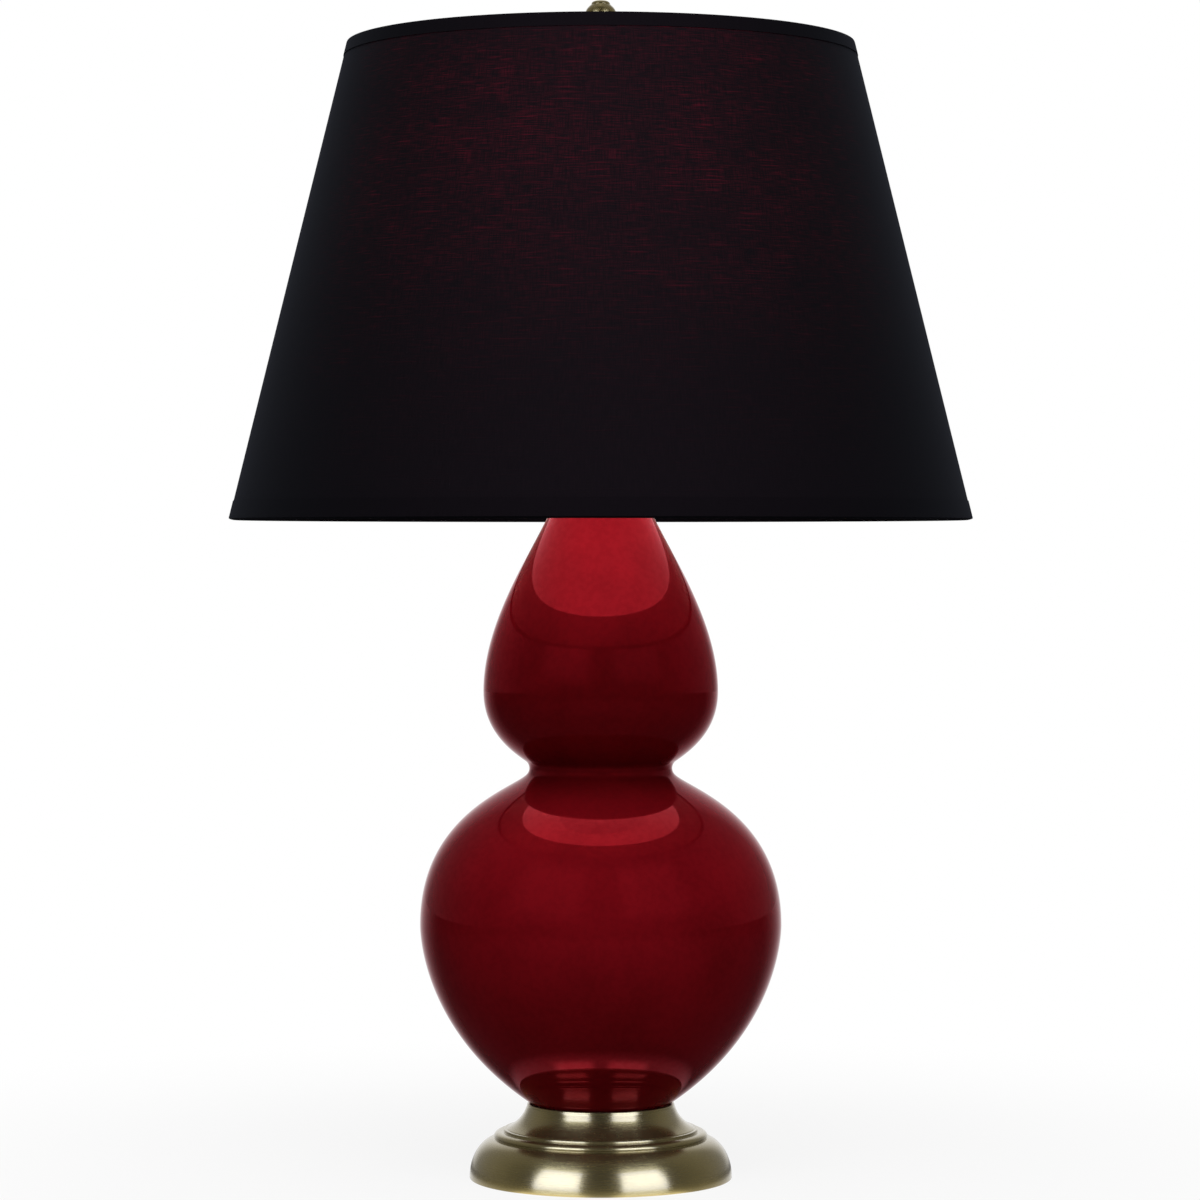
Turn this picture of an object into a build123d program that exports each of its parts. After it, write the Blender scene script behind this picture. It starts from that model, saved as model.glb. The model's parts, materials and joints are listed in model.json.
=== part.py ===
"""A table lamp with a glazed double gourd body on a turned brass foot, under a round tapered fabric shade.

Every solid stands where it does in the finished lamp, in millimetres. +Z is up, and the origin is the centre
of the felt's underside, on the table. The front is -Y, where the switch knob points; the harp lies in the XZ
plane, and the cord outlet is at the back, at +Y. Outlines are drawn as (radius, height) and turned about Z.
"""

from build123d import *

import os
from math import asin, atan, cos, degrees, radians, sin, tan

# ---------------------------------------------------------------- clearances
FIT = 0.1  # round a piece that is held on a rod, shaft or stud
RUN = 0.2  # between two pieces that move past each other
HOLD = 0.15  # between skins, rings and edges that are glued or folded together
OVERRUN = 1.0  # how far a cut runs past the face that it opens

# ---------------------------------------------------------------- foot
FELT_PROUD = 0.2  # how far the felt stands below the brass
FELT_T = 1.0
BOARD_T = 1.6
RIM_R = 87.7  # widest radius of the brass foot
RIM_EASE = 0.7  # rounding of the foot's lower edge
OVOLO_R = 71.8  # radius at the top of the big quarter round
OVOLO_TOP_Z = 27.0
OVOLO_LEAN = 104.0  # degrees from upright at which it ends
OVOLO_PULL_LOW = 12.8
OVOLO_PULL_HIGH = 9.8
GROOVE_IN = 0.9  # depth of the groove over the quarter round
GROOVE_H = 0.5
BEAD_R = 71.3  # widest radius of the bead
BEAD_Z = 28.6  # height of the bead's widest line
BEAD_W = 4.6
BEAD_H = 2.9
BEAD_TOP_R = 64.9  # outer edge of the step over the bead
STEP_H = 1.7
COVE_LOW_R = 62.8  # where the hollow moulding starts, over the step
COVE_LOW_RISE = 0.3
COVE_LOW_LEAN = -63.0
COVE_TOP_R = 51.2
COVE_TOP_Z = 44.2
COVE_TOP_LEAN = -28.0
COVE_PULL = 6.0
LIP_R = 49.4  # outer radius under the cup's lip
LIP_Z = 50.2  # height of the cup's lip
LIP_ROUND = 1.8
CUP_R = 47.6  # bore of the cup that holds the gourd
CUP_DEPTH = 6.7
DECK_T = 3.2
CAST_T = 2.4  # wall of the brass casting

# ---------------------------------------------------------------- cord outlet
OUTLET_Z = 10.2
CORD_HOLE_R = 3.6
BARREL_R = 4.6
BARREL_L = 9.0
FLANGE_R = 6.0
FLANGE_T = 1.5
SPOT_Y = 83.2  # flat that the outlet's flange sits on
BOSS_R = 7.2
BOSS_L = 7.0

# ---------------------------------------------------------------- loader and rod
ROD_R = 4.9
ROD_BORE_R = 3.3
ROD_LOW_Z = 9.0
ROD_IN_CAP = 5.0  # how far the rod screws into the socket's cap
BASE_NUT_AF = 16.0
BASE_NUT_T = 5.0
WASHER_R = 14.0
WASHER_T = 1.5
LOADER_R = 59.0
LOADER_T = 11.5
LOADER_HUB_R = 18.0
LOADER_HUB_T = 10.1

# ---------------------------------------------------------------- gourd
SEAT_RING_T = 1.5
SEAT_RING_W = 12.0
GOURD_WALL = 6.0
GOURD_HOLE_R = 9.0  # hole in the gourd's floor
FOOT_R = 38.6
FOOT_RING_W = 7.0
FOOT_RECESS = 1.0
FOOT_LEAN = 58.5  # degrees from upright, at the foot
FOOT_PULL = 93.0
BELLY_R = 120.8
BELLY_Z = 169.9
BELLY_PULL_LOW = 8.4
BELLY_PULL_HIGH = 73.9
WAIST_R = 47.8
WAIST_Z = 274.2
WAIST_ARC_R = 6.0
WAIST_LOW = 42.1  # degrees of the waist's hollow, below and above its narrowest line
WAIST_HIGH = 55.6
WAIST_PULL_LOW = 12.7
WAIST_PULL_HIGH = 13.5
CROWN_R = 78.45
CROWN_Z = 325.6
CROWN_PULL_LOW = 25.6
CROWN_PULL_HIGH = 44.5
TAPER_R = 35.9
TAPER_Z = 441.1
TAPER_LEAN = 26.1
TAPER_PULL_LOW = 31.6
TAPER_PULL_HIGH = 16.0
NECK_R = 20.5
NECK_Z = 486.0
NECK_PULL = 18.0
LOWER_EDGES = 3  # edges of the outline that lie below the waist's joint

# ---------------------------------------------------------------- brass on the neck
CAP_RING_T = 0.8
VASE_CAP_OVER = 2.6  # how far the vase cap reaches past the neck
VASE_CAP_SKIRT = 3.6
VASE_CAP_H = 6.0
VASE_CAP_TOP_R = 9.5
VASE_CAP_FLAT = 5.0
VASE_CAP_EASE = 1.1
SPACER_R = 7.0
SPACER_L = 16.0
SPACER_BEAD = 2.0
CHECK_RING_R = 12.0
CHECK_RING_T = 3.0
SADDLE_T = 1.6
SADDLE_W = 13.0
SADDLE_NUT_AF = 15.0
SADDLE_NUT_T = 3.0
PRONG_W = 6.0
PRONG_H = 9.0

# ---------------------------------------------------------------- lampholder
HUB_R = 8.2
HUB_H = 7.0
SOCKET_CAP_H = 21.0
SOCKET_CAP_T = 1.0
SOCKET_CAP_PULL = 5.0
SHELL_R = 17.2
SHELL_T = 0.8
SHELL_H = 42.0
SHELL_IN_CAP = 5.5
SLEEVE_T = 0.9
BODY_H = 17.0
SPIGOT_R = 6.8
SPIGOT_H = 6.0
SET_SCREW_R = 1.5
SET_SCREW_L = 4.6
THREAD_SHELL_R = 14.2
THREAD_SHELL_T = 0.8
THREAD_SHELL_H = 23.0
CONTACT_R = 4.5
CONTACT_H = 2.4
CONTACT_GAP_R = 7.0
TERMINAL_R = 1.5
TERMINAL_HEAD_R = 3.0
TERMINAL_HEAD_T = 2.0
TERMINAL_L = 4.0
SLOT_W = 0.6  # driver slots in the small screws
SLOT_DEPTH = 0.6
TERMINAL_DROP = 8.0  # below the top of the lampholder's body
POCKET_W = 8.0
POCKET_DEPTH = 3.4
SHAFT_R = 2.4
SHAFT_DROP = 5.4  # below the top of the lampholder's body
SHAFT_BEARING = 8.5
SHAFT_OUT = 12.0  # length beyond the boss
SHAFT_BOSS_R = 4.4
SHAFT_BOSS_L = 19.0  # from the lamp's axis to the boss's face
KNOB_R = 5.4
KNOB_TIP_R = 4.4
KNOB_L = 14.0
KNOB_STANDOFF = 3.0
KNOB_BAND_L = 3.5  # plain band next to the lampholder
KNOB_EASE = 1.0
KNOB_FLUTES = 12
KNOB_FLUTE_R = 0.8

# ---------------------------------------------------------------- bulb
BULB_L = 127.0
BULB_R = 34.0
BULB_GLASS_T = 0.8
BULB_NECK_R = 12.0
BULB_NECK_L = 7.0  # straight glass above the metal cap
BULB_BELOW = 38.0  # degrees that the round top runs below its equator
BULB_NECK_PULL = 16.0
BULB_SHOULDER_PULL = 12.0
TIP_R = 4.7
TIP_H = 2.2
BUTTON_R = 11.2
BUTTON_STEP = 0.5  # how far the black glass shows round the tip
BUTTON_H = 3.6
SCREW_R = 13.1
SCREW_DEPTH = 0.8
SCREW_PITCH = 3.63
SCREW_TURNS = 5
COLLAR_H = 3.4
BULB_CAP_T = 0.4
STEM_R = 4.0
STEM_L = 24.0
STEM_FLARE = 9.0
STEM_RIM_T = 1.0
LEAD_R = 0.4
LEAD_L = 30.0
LEAD_SPREAD = 11.0
FILAMENT_R = 0.6

# ---------------------------------------------------------------- harp
HARP_H = 228.6  # from the saddle to the seat of the shade
WIRE_R = 1.6
LEG_X = 28.6
LEG_STRAIGHT = 52.0
HARP_HALF_W = 62.0
HARP_FLARE = 30.0  # degrees from upright between leg and side
HARP_FLARE_R = 60.0
HARP_TOP_R = 50.0
HARP_BOSS_R = 6.0
FERRULE_R = 5.0
FERRULE_T = 0.8
FERRULE_L = 14.0
STUD_R = 3.1
STUD_SHANK_R = 2.9
STUD_HEAD_R = 4.6
STUD_HEAD_T = 2.4
STUD_SEAT_R = 9.5
STUD_SEAT_T = 1.8
STUD_L = 14.0
STUD_PITCH = 0.94
STUD_GROOVES = 10
STUD_TIP = 2.0  # plain length over the highest groove
STUD_EASE = 1.0
STUD_GROOVE = 0.25

# ---------------------------------------------------------------- shade
SHADE_H = 316.0
SHADE_RISE = 12.7  # how far the top rim stands over the underside of the spider's hub
SHADE_TOP_R = 168.8
SHADE_LOW_R = 247.2
FABRIC_T = 0.6
LINING_T = 0.6
HEM_T = 0.4
HEM_H = 12.0
HEM_IN = 7.0
RING_WIRE_R = 1.3
HUB_RING_R = 13.0
HUB_RING_HOLE_R = 3.6
HUB_RING_T = 1.6
ARM_R = 1.5
ARM_COUNT = 3
ARM_FLAT_R = 118.0  # where the arms turn up to the rim
ARM_BEND_R = 14.0

# ---------------------------------------------------------------- finial
FINIAL_OVER = 28.4  # how far the finial's tip stands over the top of the stud
DOME_R = 6.3  # small dome on top
DOME_H = 2.7
BELL_R = 10.4  # round shoulder under the dome
BELL_H = 7.0
BELL_TOP_LEAN = 135.0
BELL_PULL_LOW = 3.8
BELL_PULL_HIGH = 2.3
DOME_LEAN = 10.0
DOME_PULL_LOW = 2.1
DOME_PULL_HIGH = 2.8
FINIAL_EDGE_H = 2.4
FINIAL_STEM_R = 7.2
FINIAL_WAIST_R = 4.0
FINIAL_BASE_R = 9.4
FINIAL_BASE_H = 4.0
FINIAL_BASE_BULGE = 0.9
INSERT_R = 4.9
INSERT_FLANGE_R = 7.6
INSERT_FLANGE_T = 1.2
INSERT_H = 12.0

# ---------------------------------------------------------------- heights worked out from the stack
RIM_Z = FELT_PROUD
DECK_Z = LIP_Z - CUP_DEPTH
DECK_UNDER_Z = DECK_Z - DECK_T
LOADER_TOP_Z = DECK_UNDER_Z
LOADER_Z = LOADER_TOP_Z - LOADER_HUB_T - LOADER_T
WASHER_Z = LOADER_Z - WASHER_T
BASE_NUT_Z = WASHER_Z - BASE_NUT_T
FOOT_Z = DECK_Z + SEAT_RING_T
CAP_RING_Z = NECK_Z
VASE_CAP_Z = CAP_RING_Z + CAP_RING_T
SPACER_Z = VASE_CAP_Z + VASE_CAP_H
CHECK_RING_Z = SPACER_Z + SPACER_L
SADDLE_Z = CHECK_RING_Z + CHECK_RING_T
SADDLE_TOP_Z = SADDLE_Z + SADDLE_T
SADDLE_NUT_Z = SADDLE_TOP_Z
SOCKET_Z = SADDLE_NUT_Z + SADDLE_NUT_T
ROD_TOP_Z = SOCKET_Z + ROD_IN_CAP
CAP_RIM_Z = SOCKET_Z + SOCKET_CAP_H
SHELL_Z = CAP_RIM_Z - SHELL_IN_CAP
SHELL_TOP_Z = SHELL_Z + SHELL_H
SPIGOT_Z = SOCKET_Z + HUB_H + SOCKET_CAP_T
BODY_Z = SPIGOT_Z + SPIGOT_H
BODY_TOP_Z = BODY_Z + BODY_H
SHAFT_Z = BODY_TOP_Z - SHAFT_DROP
TERMINAL_Z = BODY_TOP_Z - TERMINAL_DROP
CONTACT_TOP_Z = BODY_TOP_Z + CONTACT_H
BULB_Z = CONTACT_TOP_Z + RUN
BUTTON_Z = BULB_Z + TIP_H
SCREW_Z = BUTTON_Z + BUTTON_H
SCREW_TOP_Z = SCREW_Z + SCREW_TURNS * SCREW_PITCH
COLLAR_TOP_Z = SCREW_TOP_Z + COLLAR_H
BULB_TOP_Z = BULB_Z + BULB_L
HARP_TOP_Z = SADDLE_TOP_Z + HARP_H
HARP_AXIS_Z = HARP_TOP_Z - WIRE_R
LEG_FOOT_Z = SADDLE_TOP_Z + RUN
STUD_SEAT_Z = HARP_TOP_Z + RUN
HUB_RING_Z = STUD_SEAT_Z + STUD_SEAT_T + RUN
HUB_RING_TOP_Z = HUB_RING_Z + HUB_RING_T
SHADE_TOP_Z = HUB_RING_Z + SHADE_RISE
SHADE_LOW_Z = SHADE_TOP_Z - SHADE_H
STUD_TOP_Z = STUD_SEAT_Z + STUD_SEAT_T + STUD_L
INSERT_Z = HUB_RING_TOP_Z + RUN
KNOB_LOW_Z = INSERT_Z + INSERT_FLANGE_T + RUN
FINIAL_TOP_Z = STUD_TOP_Z + FINIAL_OVER

# radii and angles that other sizes set
ROD_HOLE_R = ROD_R + FIT
SHELL_BORE_R = SHELL_R - SHELL_T
SLEEVE_R = SHELL_BORE_R - RUN
SLEEVE_BORE_R = SLEEVE_R - SLEEVE_T
BODY_R = SLEEVE_BORE_R - FIT
SOCKET_CAP_BORE_R = SHELL_R + FIT
SOCKET_CAP_R = SOCKET_CAP_BORE_R + SHELL_T
UNDERSIDE_R = RIM_R - CAST_T - HOLD
SHADE_SLOPE = atan((SHADE_LOW_R - SHADE_TOP_R) / SHADE_H)
SHADE_SLANT = SHADE_H / cos(SHADE_SLOPE)
LINING_OUT = FABRIC_T + HOLD  # how far the lining's outer face lies inside the fabric's
LINING_IN = LINING_OUT + LINING_T
RING_IN = LINING_IN + HOLD + RING_WIRE_R
HEM_INSIDE = RING_IN + RING_WIRE_R + HOLD


# ---------------------------------------------------------------- helpers
def lathe(*edges):
    """The solid that a closed outline of (radius, height) edges makes when it is turned about Z."""
    return revolve(Plane.XZ * make_face(list(edges)), Axis.Z)


def turned(*points):
    """The same for an outline of straight lines, given by its corners."""
    return lathe(*Polyline(*points, close=True).edges())


def ring(inner, outer, low, high):
    """A plain ring or tube about Z."""
    return turned((inner, low), (outer, low), (outer, high), (inner, high))


def rod(radius, start, end):
    """A round bar between two points."""
    axis = Vector(*end) - Vector(*start)
    place = Plane(origin=start, z_dir=axis)
    return extrude(place * Circle(radius), axis.length)


def hexagon(across_flats, bore, low, thickness):
    """A hexagon nut about Z."""
    blank = RegularPolygon(across_flats / 2, 6, major_radius=False) - Circle(bore)
    return extrude(Plane.XY.offset(low) * blank, thickness)


def along(point, lean, distance):
    """The point that lies distance away, in a direction that leans so many degrees outwards from upright."""
    return (point[0] + distance * sin(radians(lean)), point[1] + distance * cos(radians(lean)))


def on_shade(depth, slide):
    """(radius, height) of a point depth inside the fabric's outer face and slide down its slope."""
    return (
        SHADE_TOP_R - depth * cos(SHADE_SLOPE) + slide * sin(SHADE_SLOPE),
        SHADE_TOP_Z - depth * sin(SHADE_SLOPE) - slide * cos(SHADE_SLOPE),
    )


def shade_band(depth_out, depth_in, slide_from, slide_to):
    """A band of the shade's cone between two depths and two distances down the slope."""
    return turned(
        on_shade(depth_out, slide_from),
        on_shade(depth_out, slide_to),
        on_shade(depth_in, slide_to),
        on_shade(depth_in, slide_from),
    )


def ring_wire(radius, height, wire):
    """A wire ring about Z."""
    return revolve(Plane.XZ * (Location((radius, height, 0)) * Circle(wire)), Axis.Z)


# ---------------------------------------------------------------- foot
def base_felt():
    """Round felt pad, glued to the board inside the rim."""
    return extrude(Circle(UNDERSIDE_R), FELT_T)


def base_board():
    """Fibreboard disc that closes the foot's open underside."""
    return extrude(Plane.XY.offset(FELT_T) * Circle(UNDERSIDE_R), BOARD_T)


def plinth_form():
    """The foot's outer form as one solid: quarter round, bead and hollow moulding up to the lip."""
    ovolo_top = (OVOLO_R, OVOLO_TOP_Z)
    ovolo_low = (RIM_R, RIM_Z + RIM_EASE)
    ovolo = Bezier(
        ovolo_low,
        along(ovolo_low, 0, OVOLO_PULL_LOW),
        along(ovolo_top, OVOLO_LEAN, OVOLO_PULL_HIGH),
        ovolo_top,
    )
    rim = RadiusArc((RIM_R - RIM_EASE, RIM_Z), ovolo_low, -RIM_EASE)
    groove_r = OVOLO_R - GROOVE_IN
    groove_top_z = OVOLO_TOP_Z + GROOVE_H
    bead_turn = degrees(asin((BEAD_Z - groove_top_z) / BEAD_H))
    bead = EllipticalCenterArc((BEAD_R - BEAD_W, BEAD_Z), BEAD_W, BEAD_H, -bead_turn, arc_size=90 + bead_turn)
    step_z = BEAD_Z + BEAD_H
    cove_low = (COVE_LOW_R, step_z + STEP_H + COVE_LOW_RISE)
    cove_top = (COVE_TOP_R, COVE_TOP_Z)
    cove = Bezier(
        cove_low,
        along(cove_low, COVE_LOW_LEAN, COVE_PULL),
        along(cove_top, COVE_TOP_LEAN, -COVE_PULL),
        cove_top,
    )
    lip_low = (LIP_R, LIP_Z - LIP_ROUND)
    lip_top = ((LIP_R + CUP_R) / 2, LIP_Z)
    lip = Bezier(lip_low, (LIP_R, LIP_Z), lip_top)
    rest = [
        Polyline(ovolo_top, (groove_r, OVOLO_TOP_Z), (groove_r, groove_top_z), bead @ 0),
        Polyline(bead @ 1, (BEAD_TOP_R, step_z), (BEAD_TOP_R, step_z + STEP_H), cove_low),
        Line(cove_top, lip_low),
        Polyline(lip_top, (0, LIP_Z), (0, RIM_Z), rim @ 0),
    ]
    return lathe(rim, ovolo, bead, cove, lip, *[edge for part in rest for edge in part.edges()])


def plinth_cavity():
    """The open underside of the casting, one wall inside its outer form."""
    low = (RIM_R - CAST_T, RIM_Z)
    high = (OVOLO_R, OVOLO_TOP_Z - CAST_T)
    turn_in = along(high, OVOLO_LEAN, OVOLO_PULL_HIGH - CAST_T)
    ovolo = Bezier(low, along(low, 0, OVOLO_PULL_LOW), turn_in, high)
    under_bead = (BEAD_TOP_R - CAST_T, BEAD_Z + BEAD_H - CAST_T)
    under_deck = (COVE_TOP_R - CAST_T, DECK_UNDER_Z)
    rest = Polyline(high, under_bead, under_deck, (0, DECK_UNDER_Z), (0, RIM_Z), low)
    return lathe(ovolo, *rest.edges())


def base_plinth():
    """Brass casting with an open underside, a cup for the gourd and a boss for the cord's outlet."""
    form = plinth_form()
    boss = rod(BOSS_R, (0, SPOT_Y - BOSS_L, OUTLET_Z), (0, RIM_R, OUTLET_Z)) & form
    casting = (form - plinth_cavity()) + boss
    cup = ring(0, CUP_R, DECK_Z, LIP_Z) + ring(0, ROD_HOLE_R, DECK_UNDER_Z, DECK_Z)
    outlet = rod(FLANGE_R + FIT, (0, SPOT_Y, OUTLET_Z), (0, RIM_R, OUTLET_Z))
    hole = rod(BARREL_R + FIT, (0, SPOT_Y - BOSS_L, OUTLET_Z), (0, SPOT_Y, OUTLET_Z))
    return casting - cup - outlet - hole


def cord_bushing():
    """Flanged bushing in the back of the foot, with a rounded mouth, that the supply cord goes through."""
    flange_face = SPOT_Y + FLANGE_T
    flange = rod(FLANGE_R, (0, SPOT_Y, OUTLET_Z), (0, flange_face, OUTLET_Z))
    barrel = rod(BARREL_R, (0, SPOT_Y - BARREL_L, OUTLET_Z), (0, SPOT_Y, OUTLET_Z))
    hole = rod(CORD_HOLE_R, (0, SPOT_Y - BARREL_L, OUTLET_Z), (0, flange_face, OUTLET_Z))
    bushing = flange + barrel
    rims = bushing.edges().filter_by(GeomType.CIRCLE).sort_by(Axis.Y)[-1:]
    return fillet(rims, FLANGE_T / 2) - hole


def base_loader():
    """Cast iron weight under the deck, clamped by the rod's nut."""
    step_z = LOADER_Z + LOADER_T
    return turned(
        (ROD_HOLE_R, LOADER_Z),
        (LOADER_R, LOADER_Z),
        (LOADER_R, step_z),
        (LOADER_HUB_R, step_z),
        (LOADER_HUB_R, LOADER_TOP_Z),
        (ROD_HOLE_R, LOADER_TOP_Z),
    )


def base_washer():
    return ring(ROD_HOLE_R, WASHER_R, WASHER_Z, WASHER_Z + WASHER_T)


def base_nut():
    return hexagon(BASE_NUT_AF, ROD_HOLE_R, BASE_NUT_Z, BASE_NUT_T)


def centre_rod():
    """The threaded tube that clamps the whole stack; the wires run up inside it."""
    return ring(ROD_BORE_R, ROD_R, ROD_LOW_Z, ROD_TOP_Z)


# ---------------------------------------------------------------- gourd
def gourd_outline(inset):
    """The gourd's outline from foot to neck, moved inwards by inset: smooth stretches that meet at its belly,
    the hollow of its waist, its crown and the taper under the shade. The hollow is two arcs that meet at the
    waist's narrowest line, so the first three edges are the lower half."""
    foot = along((FOOT_R, FOOT_Z), FOOT_LEAN - 90, inset)
    belly = (BELLY_R - inset, BELLY_Z)
    centre = (WAIST_R + WAIST_ARC_R, WAIST_Z)
    hollow = WAIST_ARC_R + inset
    low = along(centre, -90 - WAIST_LOW, hollow)
    low_mid = along(centre, -90 - WAIST_LOW / 2, hollow)
    waist = (WAIST_R - inset, WAIST_Z)
    high_mid = along(centre, -90 + WAIST_HIGH / 2, hollow)
    high = along(centre, -90 + WAIST_HIGH, hollow)
    crown = (CROWN_R - inset, CROWN_Z)
    taper = along((TAPER_R, TAPER_Z), -90 - TAPER_LEAN, inset)
    neck = (NECK_R - inset, NECK_Z)
    to_waist = along(low, 180 - WAIST_LOW, WAIST_PULL_LOW)
    to_taper = along(taper, 180 - TAPER_LEAN, TAPER_PULL_LOW)
    return [
        Bezier(foot, along(foot, FOOT_LEAN, FOOT_PULL), along(belly, 180, BELLY_PULL_LOW), belly),
        Bezier(belly, along(belly, 0, BELLY_PULL_HIGH), to_waist, low),
        ThreePointArc(low, low_mid, waist),
        ThreePointArc(waist, high_mid, high),
        Bezier(high, along(high, WAIST_HIGH, WAIST_PULL_HIGH), along(crown, 180, CROWN_PULL_LOW), crown),
        Bezier(crown, along(crown, 0, CROWN_PULL_HIGH), to_taper, taper),
        Bezier(taper, along(taper, -TAPER_LEAN, TAPER_PULL_HIGH), along(neck, 180, NECK_PULL), neck),
    ]


def gourd_lower():
    """Lower bulb of the hollow ceramic body, up to the joint at the waist, with a hole in its floor."""
    outer = gourd_outline(0)[:LOWER_EDGES]
    inner = gourd_outline(GOURD_WALL)[:LOWER_EDGES]
    floor_z = (inner[0] @ 0).Y
    recess_r = FOOT_R - FOOT_RING_W
    closing = Polyline(
        inner[0] @ 0,
        (GOURD_HOLE_R, floor_z),
        (GOURD_HOLE_R, FOOT_Z + FOOT_RECESS),
        (recess_r, FOOT_Z + FOOT_RECESS),
        (recess_r, FOOT_Z),
        outer[0] @ 0,
    )
    edges = outer + inner + [Line(outer[-1] @ 1, inner[-1] @ 1)] + list(closing.edges())
    return lathe(*edges)


def gourd_upper():
    """Upper bulb of the body, joined to the lower one at the waist and open at the neck."""
    outer = gourd_outline(0)[LOWER_EDGES:]
    inner = gourd_outline(GOURD_WALL)[LOWER_EDGES:]
    ends = [Line(outer[0] @ 0, inner[0] @ 0), Line(outer[-1] @ 1, inner[-1] @ 1)]
    return lathe(*outer, *inner, *ends)


def seat_ring():
    """Rubber ring between the foot's deck and the gourd."""
    return ring(FOOT_R - SEAT_RING_W, FOOT_R, DECK_Z, DECK_Z + SEAT_RING_T)


# ---------------------------------------------------------------- brass on the neck
def cap_ring():
    """Rubber ring between the gourd's neck and the vase cap."""
    return ring(NECK_R - GOURD_WALL + HOLD, NECK_R - HOLD, CAP_RING_Z, CAP_RING_Z + CAP_RING_T)


def vase_cap():
    """Domed brass cap, with a short skirt round the gourd's neck."""
    rim_r = NECK_R + VASE_CAP_OVER
    skirt_r = NECK_R + RUN * 4
    skirt_z = VASE_CAP_Z - VASE_CAP_SKIRT
    top_z = VASE_CAP_Z + VASE_CAP_H
    shoulder = (VASE_CAP_TOP_R + VASE_CAP_FLAT, top_z - VASE_CAP_EASE)
    dome = Bezier((rim_r, VASE_CAP_Z), (rim_r, top_z - VASE_CAP_EASE), shoulder, (VASE_CAP_TOP_R, top_z))
    rest = Polyline(
        dome @ 1,
        (ROD_HOLE_R, top_z),
        (ROD_HOLE_R, VASE_CAP_Z),
        (skirt_r, VASE_CAP_Z),
        (skirt_r, skirt_z),
        (rim_r, skirt_z),
        dome @ 0,
    )
    return lathe(dome, *rest.edges())


def neck_spacer():
    """Turned brass tube with a bead at mid height, which lifts the saddle off the vase cap."""
    top_z = SPACER_Z + SPACER_L
    mid_z = SPACER_Z + SPACER_L / 2
    bead = ThreePointArc(
        (SPACER_R, mid_z - SPACER_BEAD), (SPACER_R + SPACER_BEAD, mid_z), (SPACER_R, mid_z + SPACER_BEAD)
    )
    rest = Polyline(
        bead @ 1,
        (SPACER_R, top_z),
        (ROD_HOLE_R, top_z),
        (ROD_HOLE_R, SPACER_Z),
        (SPACER_R, SPACER_Z),
        bead @ 0,
    )
    return lathe(bead, *rest.edges())


def check_ring():
    blank = ring(ROD_HOLE_R, CHECK_RING_R, CHECK_RING_Z, CHECK_RING_Z + CHECK_RING_T)
    rims = blank.edges().filter_by(GeomType.CIRCLE).sort_by(SortBy.RADIUS)[-2:]
    return fillet(rims, CHECK_RING_T / 3)


def harp_saddle():
    """Steel strip under the lampholder, with an upright prong beside each leg of the harp."""
    prong_x = LEG_X - WIRE_R - RUN * 2
    outline = Rectangle(2 * prong_x, SADDLE_W) + Rectangle(2 * (LEG_X + FERRULE_R), 2 * FERRULE_R)
    strip = extrude(Plane.XY.offset(SADDLE_Z) * (outline - Circle(ROD_HOLE_R)), SADDLE_T)
    for side in (-1, 1):
        prong = Box(SADDLE_T, PRONG_W, PRONG_H + SADDLE_T)
        centre = (side * (prong_x - SADDLE_T / 2), 0, SADDLE_Z + (PRONG_H + SADDLE_T) / 2)
        strip = strip + Location(centre) * prong
    return strip


def saddle_nut():
    return hexagon(SADDLE_NUT_AF, ROD_HOLE_R, SADDLE_NUT_Z, SADDLE_NUT_T)


# ---------------------------------------------------------------- lampholder
def socket_cap():
    """Brass cup that screws on the rod and takes the shell."""
    flare_z = SOCKET_Z + HUB_H
    shoulder_z = CAP_RIM_Z - SHELL_IN_CAP
    floor_z = flare_z + SOCKET_CAP_T
    outer = Bezier(
        (HUB_R, flare_z),
        (HUB_R + SOCKET_CAP_PULL, floor_z),
        (SOCKET_CAP_R, shoulder_z - SOCKET_CAP_PULL),
        (SOCKET_CAP_R, shoulder_z),
    )
    inner = Bezier(
        (HUB_R - SOCKET_CAP_T, floor_z),
        (HUB_R - SOCKET_CAP_T + SOCKET_CAP_PULL, floor_z + SOCKET_CAP_T),
        (SOCKET_CAP_BORE_R, shoulder_z - SOCKET_CAP_PULL + SOCKET_CAP_T),
        (SOCKET_CAP_BORE_R, shoulder_z),
    )
    up = Polyline(outer @ 1, (SOCKET_CAP_R, CAP_RIM_Z), (SOCKET_CAP_BORE_R, CAP_RIM_Z), inner @ 1)
    down = Polyline(
        inner @ 0, (ROD_HOLE_R, floor_z), (ROD_HOLE_R, SOCKET_Z), (HUB_R, SOCKET_Z), outer @ 0
    )
    cup = lathe(outer, inner, *up.edges(), *down.edges())
    screw_z = SOCKET_Z + HUB_H / 2
    return cup - rod(SET_SCREW_R + FIT, (0, 0, screw_z), (HUB_R + OVERRUN, 0, screw_z))


def set_screw():
    """Grub screw that locks the lampholder on the rod, with its slot outwards."""
    screw_z = SOCKET_Z + HUB_H / 2
    start = ROD_R + FIT / 2
    screw = rod(SET_SCREW_R, (start, 0, screw_z), (start + SET_SCREW_L, 0, screw_z))
    slot = Location((start + SET_SCREW_L, 0, screw_z)) * Box(SLOT_DEPTH * 2, SET_SCREW_R * 3, SLOT_W)
    return screw - slot


def shaft_slot(tube):
    """The tube with the notch, open at its lower edge, that lets it down over the switch's boss."""
    width = 2 * (SHAFT_BOSS_R + RUN)
    depth = SHAFT_Z - SHELL_Z + OVERRUN
    notch = Location((0, -SHELL_R, SHAFT_Z - depth / 2)) * Box(width, SHELL_R, depth)
    return tube - notch - rod(width / 2, (0, 0, SHAFT_Z), (0, -SHELL_R - OVERRUN, SHAFT_Z))


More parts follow.
